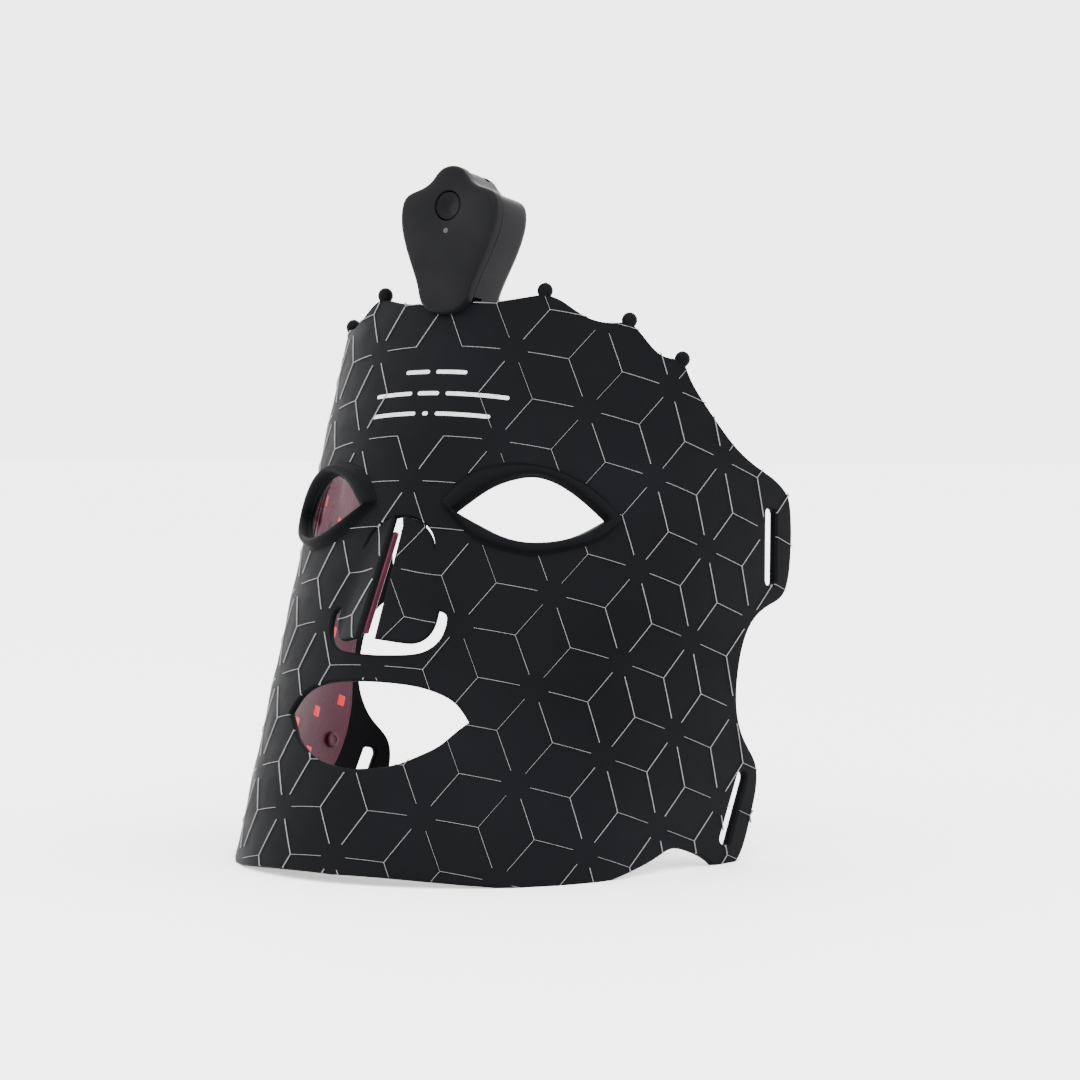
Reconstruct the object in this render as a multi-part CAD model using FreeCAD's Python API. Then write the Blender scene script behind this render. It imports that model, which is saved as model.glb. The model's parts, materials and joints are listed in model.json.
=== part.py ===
import FreeCAD, Part
import math
import os

os.makedirs("parts", exist_ok=True)
V = FreeCAD.Vector
X_AXIS = V(1, 0, 0)
Z_AXIS = V(0, 0, 1)
ORIGIN = V(0, 0, 0)

# Curved sheet: a front arc and two side wings, the left one resting curled in (mm, degrees).
FRONT_RADIUS = 73.0
FRONT_HALF_ANGLE = 72.0
RIGHT_WING_RADIUS = 285.0
LEFT_WING_RADIUS = 60.0
SEAM_U = FRONT_RADIUS * math.radians(FRONT_HALF_ANGLE)
LEAN = -20.4
DATUM_V = 90.0
FLOOR_Z = -92.3

# Layers, outer face at depth zero, inward negative.
SKIN = 2.2
FLEX = 0.4
LINER = 1.8
FLEX_TOP = -SKIN
LINER_TOP = FLEX_TOP - FLEX
LINER_BACK = LINER_TOP - LINER
LINER_INSET = 4.0
CUT_OVER = 0.5

# LEDs.
LED_WIDE = 4.0
LED_TALL = 4.4
LED_DEEP = 0.9
LED_PITCH = 15.0
LED_SINK = 0.05
POCKET_PLAY = 0.1
LED_ROWS = 10
FIRST_LED_V = 24.0
WING_LED_PITCH = 14.0
WING_LED_COLUMNS = [(98.0, 55.0, 7), (110.0, 48.0, 7), (122.0, 97.0, 2)]
FOREHEAD_END = 50.0
CHIN_START = 140.0
STUD_RADIUS = 2.6
STUD_TALL = 1.4
STUD_GAP = 0.08
STUD_SINK = 0.2

# Eye rims, nose flaps and edge nubs.
RIM_PROUD = 2.8
FLAP_OPEN = 22.0
HINGE_TOP = (13.4, 82.0)
HINGE_BOTTOM = (18.4, 101.0)
NUB_RADIUS = 2.5
NECK_RADIUS = 1.6
NECK_LENGTH = 5.0
FLEX_TAIL_HALF = 4.0
FLEX_TAIL_FOOT = 20.0
FLEX_TAIL_SHORT = 6.0

# Control box, in its own upright frame with y running backward.
BOX_LEAN = -7.1
BOX_AT = V(0, 26.9, 80.7)
COVER_DEEP = 5.0
COVER_WALL = 2.2
SEAL_DEEP = 0.6
HOUSING_FRONT = COVER_DEEP + SEAL_DEEP
HOUSING_BACK = 22.0
HOUSING_WALL = 2.0
HOUSING_FOOT = 6.0
BUTTON_Z = 34.5
BUTTON_RADIUS = 4.5
BUTTON_PLAY = 0.35
SHEET_CLEAR = 0.35
TAB_HALF = 6.6
TAB_TOP_V = -16.0
HOUSING_INSET = 0.6
FRONT_FILLET = 1.6
BACK_FILLET = 3.0
LIGHT_Z = 26.5
LIGHT_RADIUS = 0.9
COVER_POST = 1.9
HOUSING_POST = 2.8
SCREW_RADIUS = 0.95
SCREW_HEAD = 1.9
SCREW_SINK = 2.5
SCREW_HEAD_DEEP = 1.5
CORNER_SCREWS = [(12.6, 33.0), (-12.6, 33.0), (9.2, 15.9), (-9.2, 15.9)]
BOARD_FRONT = 12.6
BOARD_DEEP = 1.0
BOARD_WIDE = 18.0
BOARD_FOOT = 19.4
SWITCH_WIDE = 6.0
SWITCH_DEEP = 3.2
CELL_FRONT = 15.0
CELL_DEEP = 4.4
CELL_TALL = 16.5
PAD_WIDE = 16.0
PAD_DEEP = 1.2
PAD_TALL = 14.0
PORT_Y = 16.0
PORT_WIDE = 9.0
PORT_DEEP = 3.3
PORT_FOOT = 38.0
PORT_TALL = 6.6
PORT_WALL = 0.45
PORT_FLOOR = 1.5
TONGUE_WIDE = 6.4
TONGUE_DEEP = 0.8

FRONT_BEND = (0.0, FRONT_RADIUS, FRONT_RADIUS, 0.0, 0.0)


def wing_bend(radius):
    """The wing arc leaves the front arc along the same tangent."""
    turn = math.radians(FRONT_HALF_ANGLE)
    x = (FRONT_RADIUS - radius) * math.sin(turn)
    y = FRONT_RADIUS - (FRONT_RADIUS - radius) * math.cos(turn)
    return (x, y, radius, SEAM_U, turn)


RIGHT_BEND = wing_bend(RIGHT_WING_RADIUS)
LEFT_BEND = wing_bend(LEFT_WING_RADIUS)


def on_sheet(u, v, depth, bend):
    """Point of the sheet at flat position u across, v down."""
    cx, cy, radius, start_u, start_turn = bend
    turn = start_turn + (u - start_u) / radius
    reach = radius + depth
    return V(cx + reach * math.sin(turn), cy - reach * math.cos(turn), DATUM_V - v)


def segment_edge(points, depth, bend):
    """One smooth edge laid on the sheet; two points make a straight run."""
    if len(points) == 2:
        (u0, v0), (u1, v1) = points
        steps = 8
        points = [(u0 + (u1 - u0) * i / steps, v0 + (v1 - v0) * i / steps) for i in range(steps + 1)]
    curve = Part.BSplineCurve()
    curve.interpolate([on_sheet(u, v, depth, bend) for u, v in points])
    return curve.toShape()


def between(low, high, t):
    """Outline part-way from low to high."""
    mixed = []
    for a, b in zip(low, high):
        mixed.append([(p[0] + (q[0] - p[0]) * t, p[1] + (q[1] - p[1]) * t) for p, q in zip(a, b)])
    return mixed


def block(depth0, depth1, bend, u_range):
    """Plain piece of bent sheet, wide enough for any outline."""
    cx, cy, radius, start_u, start_turn = bend
    tall = 140.0
    r0 = radius + depth0
    r1 = radius + depth1
    corners = [V(r0, 0, -tall), V(r1, 0, -tall), V(r1, 0, tall), V(r0, 0, tall), V(r0, 0, -tall)]
    face = Part.Face(Part.makePolygon(corners))
    first = start_turn + (u_range[0] - start_u) / radius
    last = start_turn + (u_range[1] - start_u) / radius
    solid = face.revolve(ORIGIN, Z_AXIS, math.degrees(last - first))
    solid.rotate(ORIGIN, Z_AXIS, math.degrees(first) - 90.0)
    solid.translate(V(cx, cy, 0))
    return solid


def patch(outline, inside, depth0, depth1, bend=FRONT_BEND, top=None):
    """Solid piece of sheet within an outline; top gives a different outer outline."""
    outer = top if top else outline
    over = 1.0
    span = depth1 - depth0
    low = between(outline, outer, -over / span)
    high = between(outline, outer, 1.0 + over / span)
    walls = []
    for a, b in zip(low, high):
        inner_edge = segment_edge(a, depth0 - over, bend)
        outer_edge = segment_edge(b, depth1 + over, bend)
        walls.append(Part.makeRuledSurface(inner_edge, outer_edge))
    us = [p[0] for part in low + high for p in part]
    base = block(depth0, depth1, bend, (min(us) - 4.0, max(us) + 4.0))
    pieces, _ = base.generalFuse([Part.makeShell(walls)], 0.0)
    probe = on_sheet(inside[0], inside[1], (depth0 + depth1) / 2, bend)
    for solid in pieces.Solids:
        if solid.isInside(probe, 0.001, False):
            return solid
    raise ValueError("no piece holds the inside point")


def mirrored(outline):
    """Left-hand twin of a flat outline."""
    return [[(-u, v) for u, v in reversed(part)] for part in reversed(outline)]


def lean(shape):
    """Tip the upright sheet back to the way it stands."""
    done = shape.copy()
    done.rotate(ORIGIN, X_AXIS, LEAN)
    return done


def twin(shape):
    """Left-hand copy of a right-hand solid."""
    return shape.mirror(ORIGIN, X_AXIS)


def above_floor(shape):
    """Trim a leaned solid level along the standing edge."""
    size = 400.0
    slab = Part.makeBox(size, size, size, V(-size / 2, -size / 2, FLOOR_Z - size))
    return shape.cut(slab)


# Flat outlines of the right half, u across and v down from the top edge.
TOP_EDGE = [
    [(0.0, 0.5), (10.0, 0.0), (18.0, -1.1), (24.2, -2.7), (31.8, -5.0)],
    [(31.8, -5.0), (36.5, -4.2), (41.5, -2.0), (47.2, 0.1), (53.0, 0.2), (60.2, -2.0)],
    [(60.2, -2.0), (64.0, 0.2), (67.7, 2.9), (72.5, 5.3), (80.9, 4.2)],
    [(80.9, 4.2), (83.6, 7.8), (87.0, 11.2), (91.54, 14.4)],
]
BOTTOM_EDGE = [
    [
        (91.54, 169.4), (84.9, 172.9), (71.5, 177.4), (53.0, 181.3),
        (38.2, 183.1), (20.0, 184.4), (0.0, 185.2),
    ],
]
EYE_HOLE = [
    [
        (17.3, 69.5), (22.7, 64.1), (28.2, 59.4), (33.9, 56.3),
        (39.8, 54.5), (46.1, 54.9), (52.9, 57.2), (64.2, 63.1),
    ],
    [
        (64.2, 63.1), (59.7, 67.2), (54.0, 71.3), (46.6, 74.3),
        (39.0, 75.5), (32.7, 74.7), (25.9, 72.4), (17.3, 69.5),
    ],
]
RIM_FOOT = [
    [
        (11.9, 66.1), (16.8, 59.1), (22.4, 54.6), (28.4, 52.2),
        (37.5, 50.7), (47.0, 51.1), (57.1, 53.6), (70.2, 61.4),
    ],
    [
        (70.2, 61.4), (63.5, 70.1), (57.5, 73.9), (51.8, 76.7),
        (44.5, 79.6), (36.7, 79.8), (27.0, 78.1), (11.9, 66.1),
    ],
]
MOUTH = [
    [(0.0, 124.8), (9.0, 124.9), (17.3, 125.4), (24.0, 126.7), (29.1, 128.8), (34.5, 134.0)],
    [(34.5, 134.0), (30.9, 137.9), (27.1, 142.3), (21.6, 146.2), (15.8, 149.4), (9.5, 151.3), (0.0, 152.5)],
]
NOSE_HOLE = [
    [(0.0, 71.6), (7.0, 73.2), (11.4, 77.0), (13.4, 82.0)],
    [(13.4, 82.0), (18.4, 101.0)],
    [
        (18.4, 101.0), (20.6, 101.6), (21.6, 105.2), (20.6, 109.8),
        (16.6, 114.0), (11.2, 115.6), (0.0, 116.4),
    ],
]
NOSE_FLAP = [
    [(1.75, 74.4), (6.2, 75.2), (10.0, 78.4), (12.9, 82.6)],
    [(12.9, 82.6), (17.6, 100.6)],
    [(17.6, 100.6), (17.9, 105.5), (16.4, 109.2), (13.6, 111.4), (10.0, 112.2), (1.75, 112.6)],
    [(1.75, 112.6), (1.75, 74.4)],
]
FLAP_LINER = [
    [(3.6, 77.6), (6.6, 78.6), (9.2, 81.2), (11.0, 84.0)],
    [(11.0, 84.0), (14.9, 99.8)],
    [(14.9, 99.8), (15.0, 104.4), (13.8, 107.4), (11.6, 109.0), (3.6, 110.0)],
    [(3.6, 110.0), (3.6, 77.6)],
]
WING = [
    [
        (91.94, 14.6), (99.8, 19.2), (110.7, 24.1), (121.6, 26.3),
        (135.4, 28.2), (139.5, 30.3), (141.8, 33.9),
    ],
    [
        (141.8, 33.9), (146.4, 49.6), (147.0, 55.5), (145.6, 61.8),
        (139.7, 67.1), (131.1, 76.6), (128.9, 86.0),
    ],
    [
        (128.9, 86.0), (129.0, 93.0), (130.6, 101.8), (134.3, 108.9),
        (146.1, 118.1), (148.7, 124.7), (148.5, 133.6),
    ],
    [
        (148.5, 133.6), (147.1, 144.8), (144.4, 151.0), (140.2, 154.3),
        (134.8, 154.9), (127.8, 153.9), (120.1, 153.6),
    ],
    [(120.1, 153.6), (111.8, 155.1), (107.1, 158.6), (99.5, 164.2), (91.94, 169.2)],
    [(91.94, 169.2), (91.94, 14.6)],
]
UPPER_SLOT = [
    [(128.6, 37.6), (134.0, 36.6)],
    [(134.0, 36.6), (140.4, 60.0)],
    [(140.4, 60.0), (135.2, 61.8)],
    [(135.2, 61.8), (128.6, 37.6)],
]
LOWER_SLOT = [
    [(137.8, 123.0), (142.6, 122.2)],
    [(142.6, 122.2), (138.8, 147.4)],
    [(138.8, 147.4), (133.8, 147.0)],
    [(133.8, 147.0), (137.8, 123.0)],
]
LINER_TOP_EDGE = [[(0.0, 14.0), (24.0, 12.0), (48.0, 13.5), (72.0, 19.0), (91.04, 28.0)]]
LINER_BOTTOM_EDGE = [[(91.04, 156.0), (72.0, 163.5), (48.0, 168.5), (24.0, 171.0), (0.0, 171.6)]]
LINER_WING = [
    [
        (92.44, 28.6), (104.0, 35.0), (116.0, 39.0), (122.0, 45.0), (124.0, 56.0), (122.6, 70.0),
        (123.4, 80.0), (124.6, 90.0),
    ],
    [
        (124.6, 90.0), (126.0, 100.0), (128.4, 111.0), (128.6, 122.0), (126.4, 132.0), (121.0, 140.0),
        (108.0, 145.0), (92.44, 155.4),
    ],
    [(92.44, 155.4), (92.44, 28.6)],
]
NUBS = [(31.8, -6.4), (60.2, -2.6), (80.9, 4.0)]
WING_STUD = (121.0, 125.0)
STUD_SITES = [(22.5, 31.5), (52.5, 31.5), (66.0, 91.5), (66.0, 136.5), (30.0, 166.0)]
FLAP_LEDS = [(8.0, 88.0), (9.5, 101.0)]
EYE_CENTRE = (41.0, 65.0)
MOUTH_CENTRE = (0.0, 138.0)
NOSE_CENTRE = (0.0, 97.0)

# Outline of the control box front: half width and height above the tongue tip.
COVER_HALF = [
    (0.0, 47.6), (4.2, 46.2), (7.4, 42.6), (12.0, 40.2), (16.6, 38.0), (18.0, 33.5), (17.0, 26.0),
    (14.5, 19.2), (11.7, 13.0), (9.9, 8.4), (8.4, 4.0), (4.8, 0.8), (0.0, 0.0),
]
BOX_CENTRE = (0.0, 24.0)


def closed_panel(top, bottom):
    """Whole centre outline from its right-hand top and bottom edges."""
    side_right = [[top[-1][-1], bottom[0][0]]]
    side_left = [[(-u, v) for u, v in reversed(side_right[0])]]
    return top + side_right + bottom + mirrored(bottom) + side_left + mirrored(top)


def full_ring(right_half):
    """Closed outline from a right-hand half that starts and ends on the centre line."""
    return right_half + mirrored(right_half)


def grown(outline, centre, amount):
    """Outline moved outward from a centre by a fixed amount."""
    moved = []
    for part in outline:
        row = []
        for u, v in part:
            du = u - centre[0]
            dv = v - centre[1]
            reach = math.hypot(du, dv)
            row.append((u + du * amount / reach, v + dv * amount / reach))
        moved.append(row)
    return moved


def cut_openings(solid, depth0, depth1, extra):
    """Cut eyes, nose and mouth through one centre layer."""
    eye = grown(EYE_HOLE, EYE_CENTRE, extra) if extra else EYE_HOLE
    mouth = full_ring(MOUTH)
    nose = full_ring(NOSE_HOLE)
    if extra:
        mouth = grown(mouth, MOUTH_CENTRE, extra)
        nose = grown(nose, NOSE_CENTRE, extra)
    right_eye = patch(eye, EYE_CENTRE, depth0 - CUT_OVER, depth1 + CUT_OVER)
    cutters = [right_eye, twin(right_eye)]
    cutters.append(patch(mouth, MOUTH_CENTRE, depth0 - CUT_OVER, depth1 + CUT_OVER))
    cutters.append(patch(nose, NOSE_CENTRE, depth0 - CUT_OVER, depth1 + CUT_OVER))
    return solid.cut(cutters)


def nub(u, v):
    """Ball-headed nub on the top edge with a short neck."""
    mid = -SKIN / 2
    head = Part.makeSphere(NUB_RADIUS, on_sheet(u, v, mid, FRONT_BEND))
    neck = Part.makeCylinder(NECK_RADIUS, NECK_LENGTH, on_sheet(u, v + NECK_LENGTH, mid, FRONT_BEND))
    return head.fuse(neck)


def box_tab(depth0, depth1, half_width, top_v):
    """Tab that runs up from the top edge into the control box."""
    tab = [[(-half_width, 8.0), (half_width, 8.0)], [(half_width, 8.0), (half_width, top_v)]]
    tab += [[(half_width, top_v), (-half_width, top_v)], [(-half_width, top_v), (-half_width, 8.0)]]
    return patch(tab, (0.0, 0.0), depth0, depth1)


def face_shell():
    """Soft outer skin of the centre panel with its openings, nubs and tab."""
    skin = patch(closed_panel(TOP_EDGE, BOTTOM_EDGE), (0.0, 40.0), -SKIN, 0.0)
    skin = cut_openings(skin, -SKIN, 0.0, 0.0)
    added = [box_tab(-SKIN, 0.0, TAB_HALF, TAB_TOP_V)]
    for u, v in NUBS:
        added += [nub(u, v), nub(-u, v)]
    skin = skin.fuse(added).removeSplitter()
    return above_floor(lean(skin))


def wing_shell(bend):
    """Soft outer skin of a wing with its two strap slots, made right-handed."""
    skin = patch(WING, (110.0, 90.0), -SKIN, 0.0, bend)
    for slot, inside in ((UPPER_SLOT, (134.5, 49.0)), (LOWER_SLOT, (138.3, 135.0))):
        skin = skin.cut(patch(slot, inside, -SKIN - CUT_OVER, CUT_OVER, bend))
    return above_floor(lean(skin))


def led_sites():
    """Flat LED positions on the centre panel, clear of every opening."""
    sites = []
    for row in range(LED_ROWS):
        v = FIRST_LED_V + LED_PITCH * row
        for column in range(-5, 6):
            u = column * LED_PITCH
            eye = math.hypot((abs(u) - EYE_CENTRE[0]) / 35.0, (v - EYE_CENTRE[1]) / 19.0)
            mouth = math.hypot(u / 43.0, (v - MOUTH_CENTRE[1]) / 21.0)
            nose = math.hypot(u / 28.0, (v - NOSE_CENTRE[1]) / 30.0)
            if min(eye, mouth, nose) > 1.0:
                sites.append((u, v))
    return sites


def wing_led_sites():
    """Flat LED positions on a wing."""
    sites = []
    for u, first_v, count in WING_LED_COLUMNS:
        sites += [(u, first_v + WING_LED_PITCH * row) for row in range(count)]
    return sites


def led_block(u, v, bend, play):
    """One LED package lying on the flex layer."""
    wide = LED_WIDE + 2 * play
    tall = LED_TALL + 2 * play
    deep = LED_DEEP + play
    body = Part.makeBox(wide, deep, tall, V(-wide / 2, 0, -tall / 2))
    turn = bend[4] + (u - bend[3]) / bend[2]
    body.rotate(ORIGIN, Z_AXIS, math.degrees(turn))
    body.translate(on_sheet(u, v, LINER_TOP - LED_SINK, bend))
    return body


def centre_flex():
    """Thin circuit sheet behind the centre skin, with its tail into the box."""
    panel = closed_panel(LINER_TOP_EDGE, LINER_BOTTOM_EDGE)
    sheet = patch(panel, (0.0, 40.0), LINER_TOP, FLEX_TOP)
    sheet = cut_openings(sheet, LINER_TOP, FLEX_TOP, LINER_INSET)
    half = FLEX_TAIL_HALF
    foot = FLEX_TAIL_FOOT
    head = TAB_TOP_V + FLEX_TAIL_SHORT
    tail = [[(-half, foot), (half, foot)], [(half, foot), (half, head)]]
    tail += [[(half, head), (-half, head)], [(-half, head), (-half, foot)]]
    sheet = sheet.fuse(patch(tail, (0.0, 0.0), LINER_TOP, FLEX_TOP)).removeSplitter()
    return lean(sheet)


def centre_liner(sites):
    """Clear inner cushion of the centre panel with a pocket over each LED."""
    panel = closed_panel(LINER_TOP_EDGE, LINER_BOTTOM_EDGE)
    cushion = patch(panel, (0.0, 40.0), LINER_BACK, LINER_TOP)
    cushion = cut_openings(cushion, LINER_BACK, LINER_TOP, LINER_INSET)
    pockets = [led_block(u, v, FRONT_BEND, POCKET_PLAY) for u, v in sites]
    return lean(cushion.cut(pockets))


def wing_flex(bend):
    """Thin circuit sheet behind a wing skin."""
    return lean(patch(LINER_WING, (104.0, 90.0), LINER_TOP, FLEX_TOP, bend))


def stud(u, v, depth, bend):
    """Round stud standing inward from the cushion."""
    turn = bend[4] + (u - bend[3]) / bend[2]
    body = Part.makeCylinder(STUD_RADIUS, STUD_TALL, ORIGIN, V(0, 1, 0))
    body.rotate(ORIGIN, Z_AXIS, math.degrees(turn))
    body.translate(on_sheet(u, v, depth, bend))
    return body


def wing_liner(bend):
    """Clear inner cushion of a wing with its one stud."""
    cushion = patch(LINER_WING, (104.0, 90.0), LINER_BACK, LINER_TOP, bend)
    cushion = cushion.fuse(stud(WING_STUD[0], WING_STUD[1], LINER_BACK + STUD_SINK, bend))
    pockets = [led_block(u, v, bend, POCKET_PLAY) for u, v in wing_led_sites()]
    return lean(cushion.cut(pockets))


def led_group(sites, bend):
    """A set of LEDs as one piece."""
    return lean(Part.Compound([led_block(u, v, bend, 0.0) for u, v in sites]))


def eye_rim():
    """Raised cup around the right eye hole."""
    lip_foot = between(RIM_FOOT, EYE_HOLE, 0.42)
    ring = patch(RIM_FOOT, EYE_CENTRE, 0.0, RIM_PROUD, top=lip_foot)
    mouth = patch(EYE_HOLE, EYE_CENTRE, -0.5, RIM_PROUD + 0.5, top=between(EYE_HOLE, RIM_FOOT, 0.12))
    return lean(ring.cut(mouth))


def flap_turn(shape):
    """Swing a leaned right flap outward about its side hinge."""
    top = on_sheet(HINGE_TOP[0], HINGE_TOP[1], 0.0, FRONT_BEND)
    bottom = on_sheet(HINGE_BOTTOM[0], HINGE_BOTTOM[1], 0.0, FRONT_BEND)
    swung = shape.copy()
    swung.rotate(top, top - bottom, FLAP_OPEN)
    return lean(swung)


def nose_flap():
    """Outer skin of the right nose flap."""
    return flap_turn(patch(NOSE_FLAP, (9.0, 95.0), -SKIN, 0.0))


def flap_liner():
    """Clear cushion behind the right nose flap."""
    cushion = patch(FLAP_LINER, (9.0, 95.0), LINER_BACK, FLEX_TOP)
    pockets = [led_block(u, v, FRONT_BEND, POCKET_PLAY) for u, v in FLAP_LEDS]
    return flap_turn(cushion.cut(pockets))


def flap_leds():
    """LEDs sealed in the right nose flap."""
    return flap_turn(Part.Compound([led_block(u, v, FRONT_BEND, 0.0) for u, v in FLAP_LEDS]))


def liner_studs():
    """Small round studs on the inside of the centre cushion, clear of the LEDs."""
    right = [stud(u, v, LINER_BACK - STUD_GAP, FRONT_BEND) for u, v in STUD_SITES]
    return lean(Part.Compound(right + [twin(one) for one in right]))


def box_wire(inset):
    """Closed outline of the box front, moved inward by the inset."""
    half = []
    for x, z in COVER_HALF:
        dx = x - BOX_CENTRE[0]
        dz = z - BOX_CENTRE[1]
        reach = math.hypot(dx, dz)
        half.append((x - dx * inset / reach, z - dz * inset / reach))
    points = half + [(-x, z) for x, z in reversed(half[1:-1])]
    curve = Part.BSplineCurve()
    curve.interpolate(Points=[V(x, 0, z) for x, z in points], PeriodicFlag=True)
    return Part.Wire(curve.toShape())


def box_prism(inset, front, back):
    """Solid with the box outline between two depths."""
    solid = Part.Face(box_wire(inset)).extrude(V(0, back - front, 0))
    solid.translate(V(0, front, 0))
    return solid


def rod(x, z, radius, front, back):
    """Round bar along the box depth."""
    return Part.makeCylinder(radius, back - front, V(x, front, z), V(0, 1, 0))


def place_box(shape):
    """Set a box part at the forehead."""
    done = shape.copy()
    done.rotate(ORIGIN, X_AXIS, BOX_LEAN)
    done.translate(BOX_AT)
    return done


def sheet_room(half_width, top_v, play):
    """Space kept for the skin sheet, in the box frame."""
    lip = [[(-26.0, 40.0), (26.0, 40.0)], [(26.0, 40.0), (26.0, -3.5)]]
    lip += [[(26.0, -3.5), (-26.0, -3.5)], [(-26.0, -3.5), (-26.0, 40.0)]]
    room = patch(lip, (0.0, 10.0), LINER_BACK - play, play)
    tab = box_tab(LINER_TOP - play, play, half_width + play, top_v - play)
    both = lean(room.fuse(tab))
    both.translate(BOX_AT * -1)
    both.rotate(ORIGIN, X_AXIS, -BOX_LEAN)
    return both


def front_cover(room):
    """Front cover of the control box with its tongue, button well and bosses."""
    body = box_prism(0.0, 0.0, COVER_DEEP)
    rounded = [e for e in body.Edges if e.BoundBox.YMax < 0.01]
    body = body.makeFillet(FRONT_FILLET, rounded)
    well = Part.makeCylinder(BUTTON_RADIUS + BUTTON_PLAY, 20, V(0, -5, BUTTON_Z), V(0, 1, 0))
    pocket = box_prism(COVER_WALL, COVER_WALL, COVER_DEEP + 1)
    body = body.cut([well, pocket])
    posts = [rod(x, z, COVER_POST, COVER_WALL - 0.2, COVER_DEEP) for x, z in CORNER_SCREWS]
    body = body.fuse(posts)
    holes = [rod(x, z, SCREW_RADIUS + 0.05, COVER_WALL, COVER_DEEP + 1) for x, z in CORNER_SCREWS]
    light = rod(0.0, LIGHT_Z, LIGHT_RADIUS, -1.0, COVER_DEEP)
    return body.cut(holes + [light, room])


def rear_housing(room):
    """Rear housing with cavity, screw posts and charging opening."""
    body = box_prism(HOUSING_INSET, HOUSING_FRONT, HOUSING_BACK)
    back_edges = [e for e in body.Edges if e.BoundBox.YMin > HOUSING_BACK - 0.01]
    body = body.makeFillet(BACK_FILLET, back_edges)
    foot = Part.makeBox(60, 40, 30 + HOUSING_FOOT, V(-30, 0, -30))
    cavity = box_prism(HOUSING_INSET + HOUSING_WALL, HOUSING_FRONT - 1, HOUSING_BACK - HOUSING_WALL)
    floor = Part.makeBox(60, 40, 30 + HOUSING_FOOT + HOUSING_WALL, V(-30, 0, -30))
    cavity = cavity.cut(floor)
    body = body.cut([foot, cavity])
    posts = [rod(x, z, HOUSING_POST, HOUSING_FRONT, HOUSING_BACK - 1) for x, z in CORNER_SCREWS]
    body = body.fuse(posts)
    cuts = [rod(x, z, SCREW_RADIUS + 0.1, 0, HOUSING_BACK + 1) for x, z in CORNER_SCREWS]
    well = HOUSING_BACK - SCREW_SINK - 0.1
    cuts += [rod(x, z, SCREW_HEAD + 0.1, well, HOUSING_BACK + 1) for x, z in CORNER_SCREWS]
    cuts.append(port_block(0.15, 30.0))
    return body.cut(cuts + [room])


def port_block(play, tall):
    """Rounded slot shape of the charging port, standing along z."""
    half = (PORT_WIDE - PORT_DEEP) / 2
    radius = PORT_DEEP / 2 + play
    left = Part.makeCylinder(radius, tall, V(-half, PORT_Y, PORT_FOOT))
    right = Part.makeCylinder(radius, tall, V(half, PORT_Y, PORT_FOOT))
    middle = Part.makeBox(2 * half, 2 * radius, tall, V(-half, PORT_Y - radius, PORT_FOOT))
    return left.fuse([right, middle])


def usb_port():
    """Metal charging port with its tongue."""
    shell = port_block(0.0, PORT_TALL)
    hollow = port_block(-PORT_WALL, PORT_TALL)
    hollow.translate(V(0, 0, PORT_FLOOR))
    corner = V(-TONGUE_WIDE / 2, PORT_Y - TONGUE_DEEP / 2, PORT_FOOT + 0.8)
    tongue = Part.makeBox(TONGUE_WIDE, TONGUE_DEEP, PORT_TALL - 1.6, corner)
    return shell.cut(hollow).fuse(tongue)


def seal_ring(room):
    """Soft seal between cover and housing."""
    ring = box_prism(0.9, COVER_DEEP, HOUSING_FRONT).cut(box_prism(2.1, COVER_DEEP - 1, HOUSING_FRONT + 1))
    return ring.cut(room)


def power_button():
    """Dished round button on a short stem."""
    disc = rod(0.0, BUTTON_Z, BUTTON_RADIUS, 0.5, 3.0)
    dish = Part.makeSphere(14.0, V(0, -12.9, BUTTON_Z))
    flange = rod(0.0, BUTTON_Z, BUTTON_RADIUS + 1.3, COVER_WALL + 0.4, COVER_WALL + 1.0)
    stem = rod(0.0, BUTTON_Z, 1.5, 3.0, 8.6)
    return disc.fuse([flange, stem]).cut(dish)


def tact_switch():
    """Small push switch under the button."""
    half = SWITCH_WIDE / 2
    corner = V(-half, BOARD_FRONT - SWITCH_DEEP, BUTTON_Z - half)
    return Part.makeBox(SWITCH_WIDE, SWITCH_DEEP, SWITCH_WIDE, corner)


def control_board():
    """Rigid circuit board in the housing."""
    corner = V(-BOARD_WIDE / 2, BOARD_FRONT, BOARD_FOOT)
    return Part.makeBox(BOARD_WIDE, BOARD_DEEP, BOARD_WIDE, corner)


def battery():
    """Flat pouch cell behind the board."""
    corner = V(-BOARD_WIDE / 2, CELL_FRONT, BOARD_FOOT)
    cell = Part.makeBox(BOARD_WIDE, CELL_DEEP, CELL_TALL, corner)
    return cell.makeFillet(1.2, [e for e in cell.Edges if abs(e.Length - CELL_TALL) < 0.01])


def battery_pad():
    """Foam pad that holds the cell against the board."""
    corner = V(-PAD_WIDE / 2, BOARD_FRONT + BOARD_DEEP + 0.1, BOARD_FOOT + 1.1)
    return Part.makeBox(PAD_WIDE, PAD_DEEP, PAD_TALL, corner)


def flex_connector():
    """Connector that takes the tail of the circuit sheet."""
    return Part.makeBox(9.0, 1.6, 3.2, V(-4.5, BOARD_FRONT - 1.6, 20.0))


def controller_chip():
    """Control chip on the board."""
    return Part.makeBox(5.0, 0.9, 4.0, V(4.0, BOARD_FRONT - 0.9, 25.5))


def light_pipe():
    """Clear rod for the status light."""
    return rod(0.0, LIGHT_Z, LIGHT_RADIUS - 0.05, 0.1, COVER_DEEP + 1.5)


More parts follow.
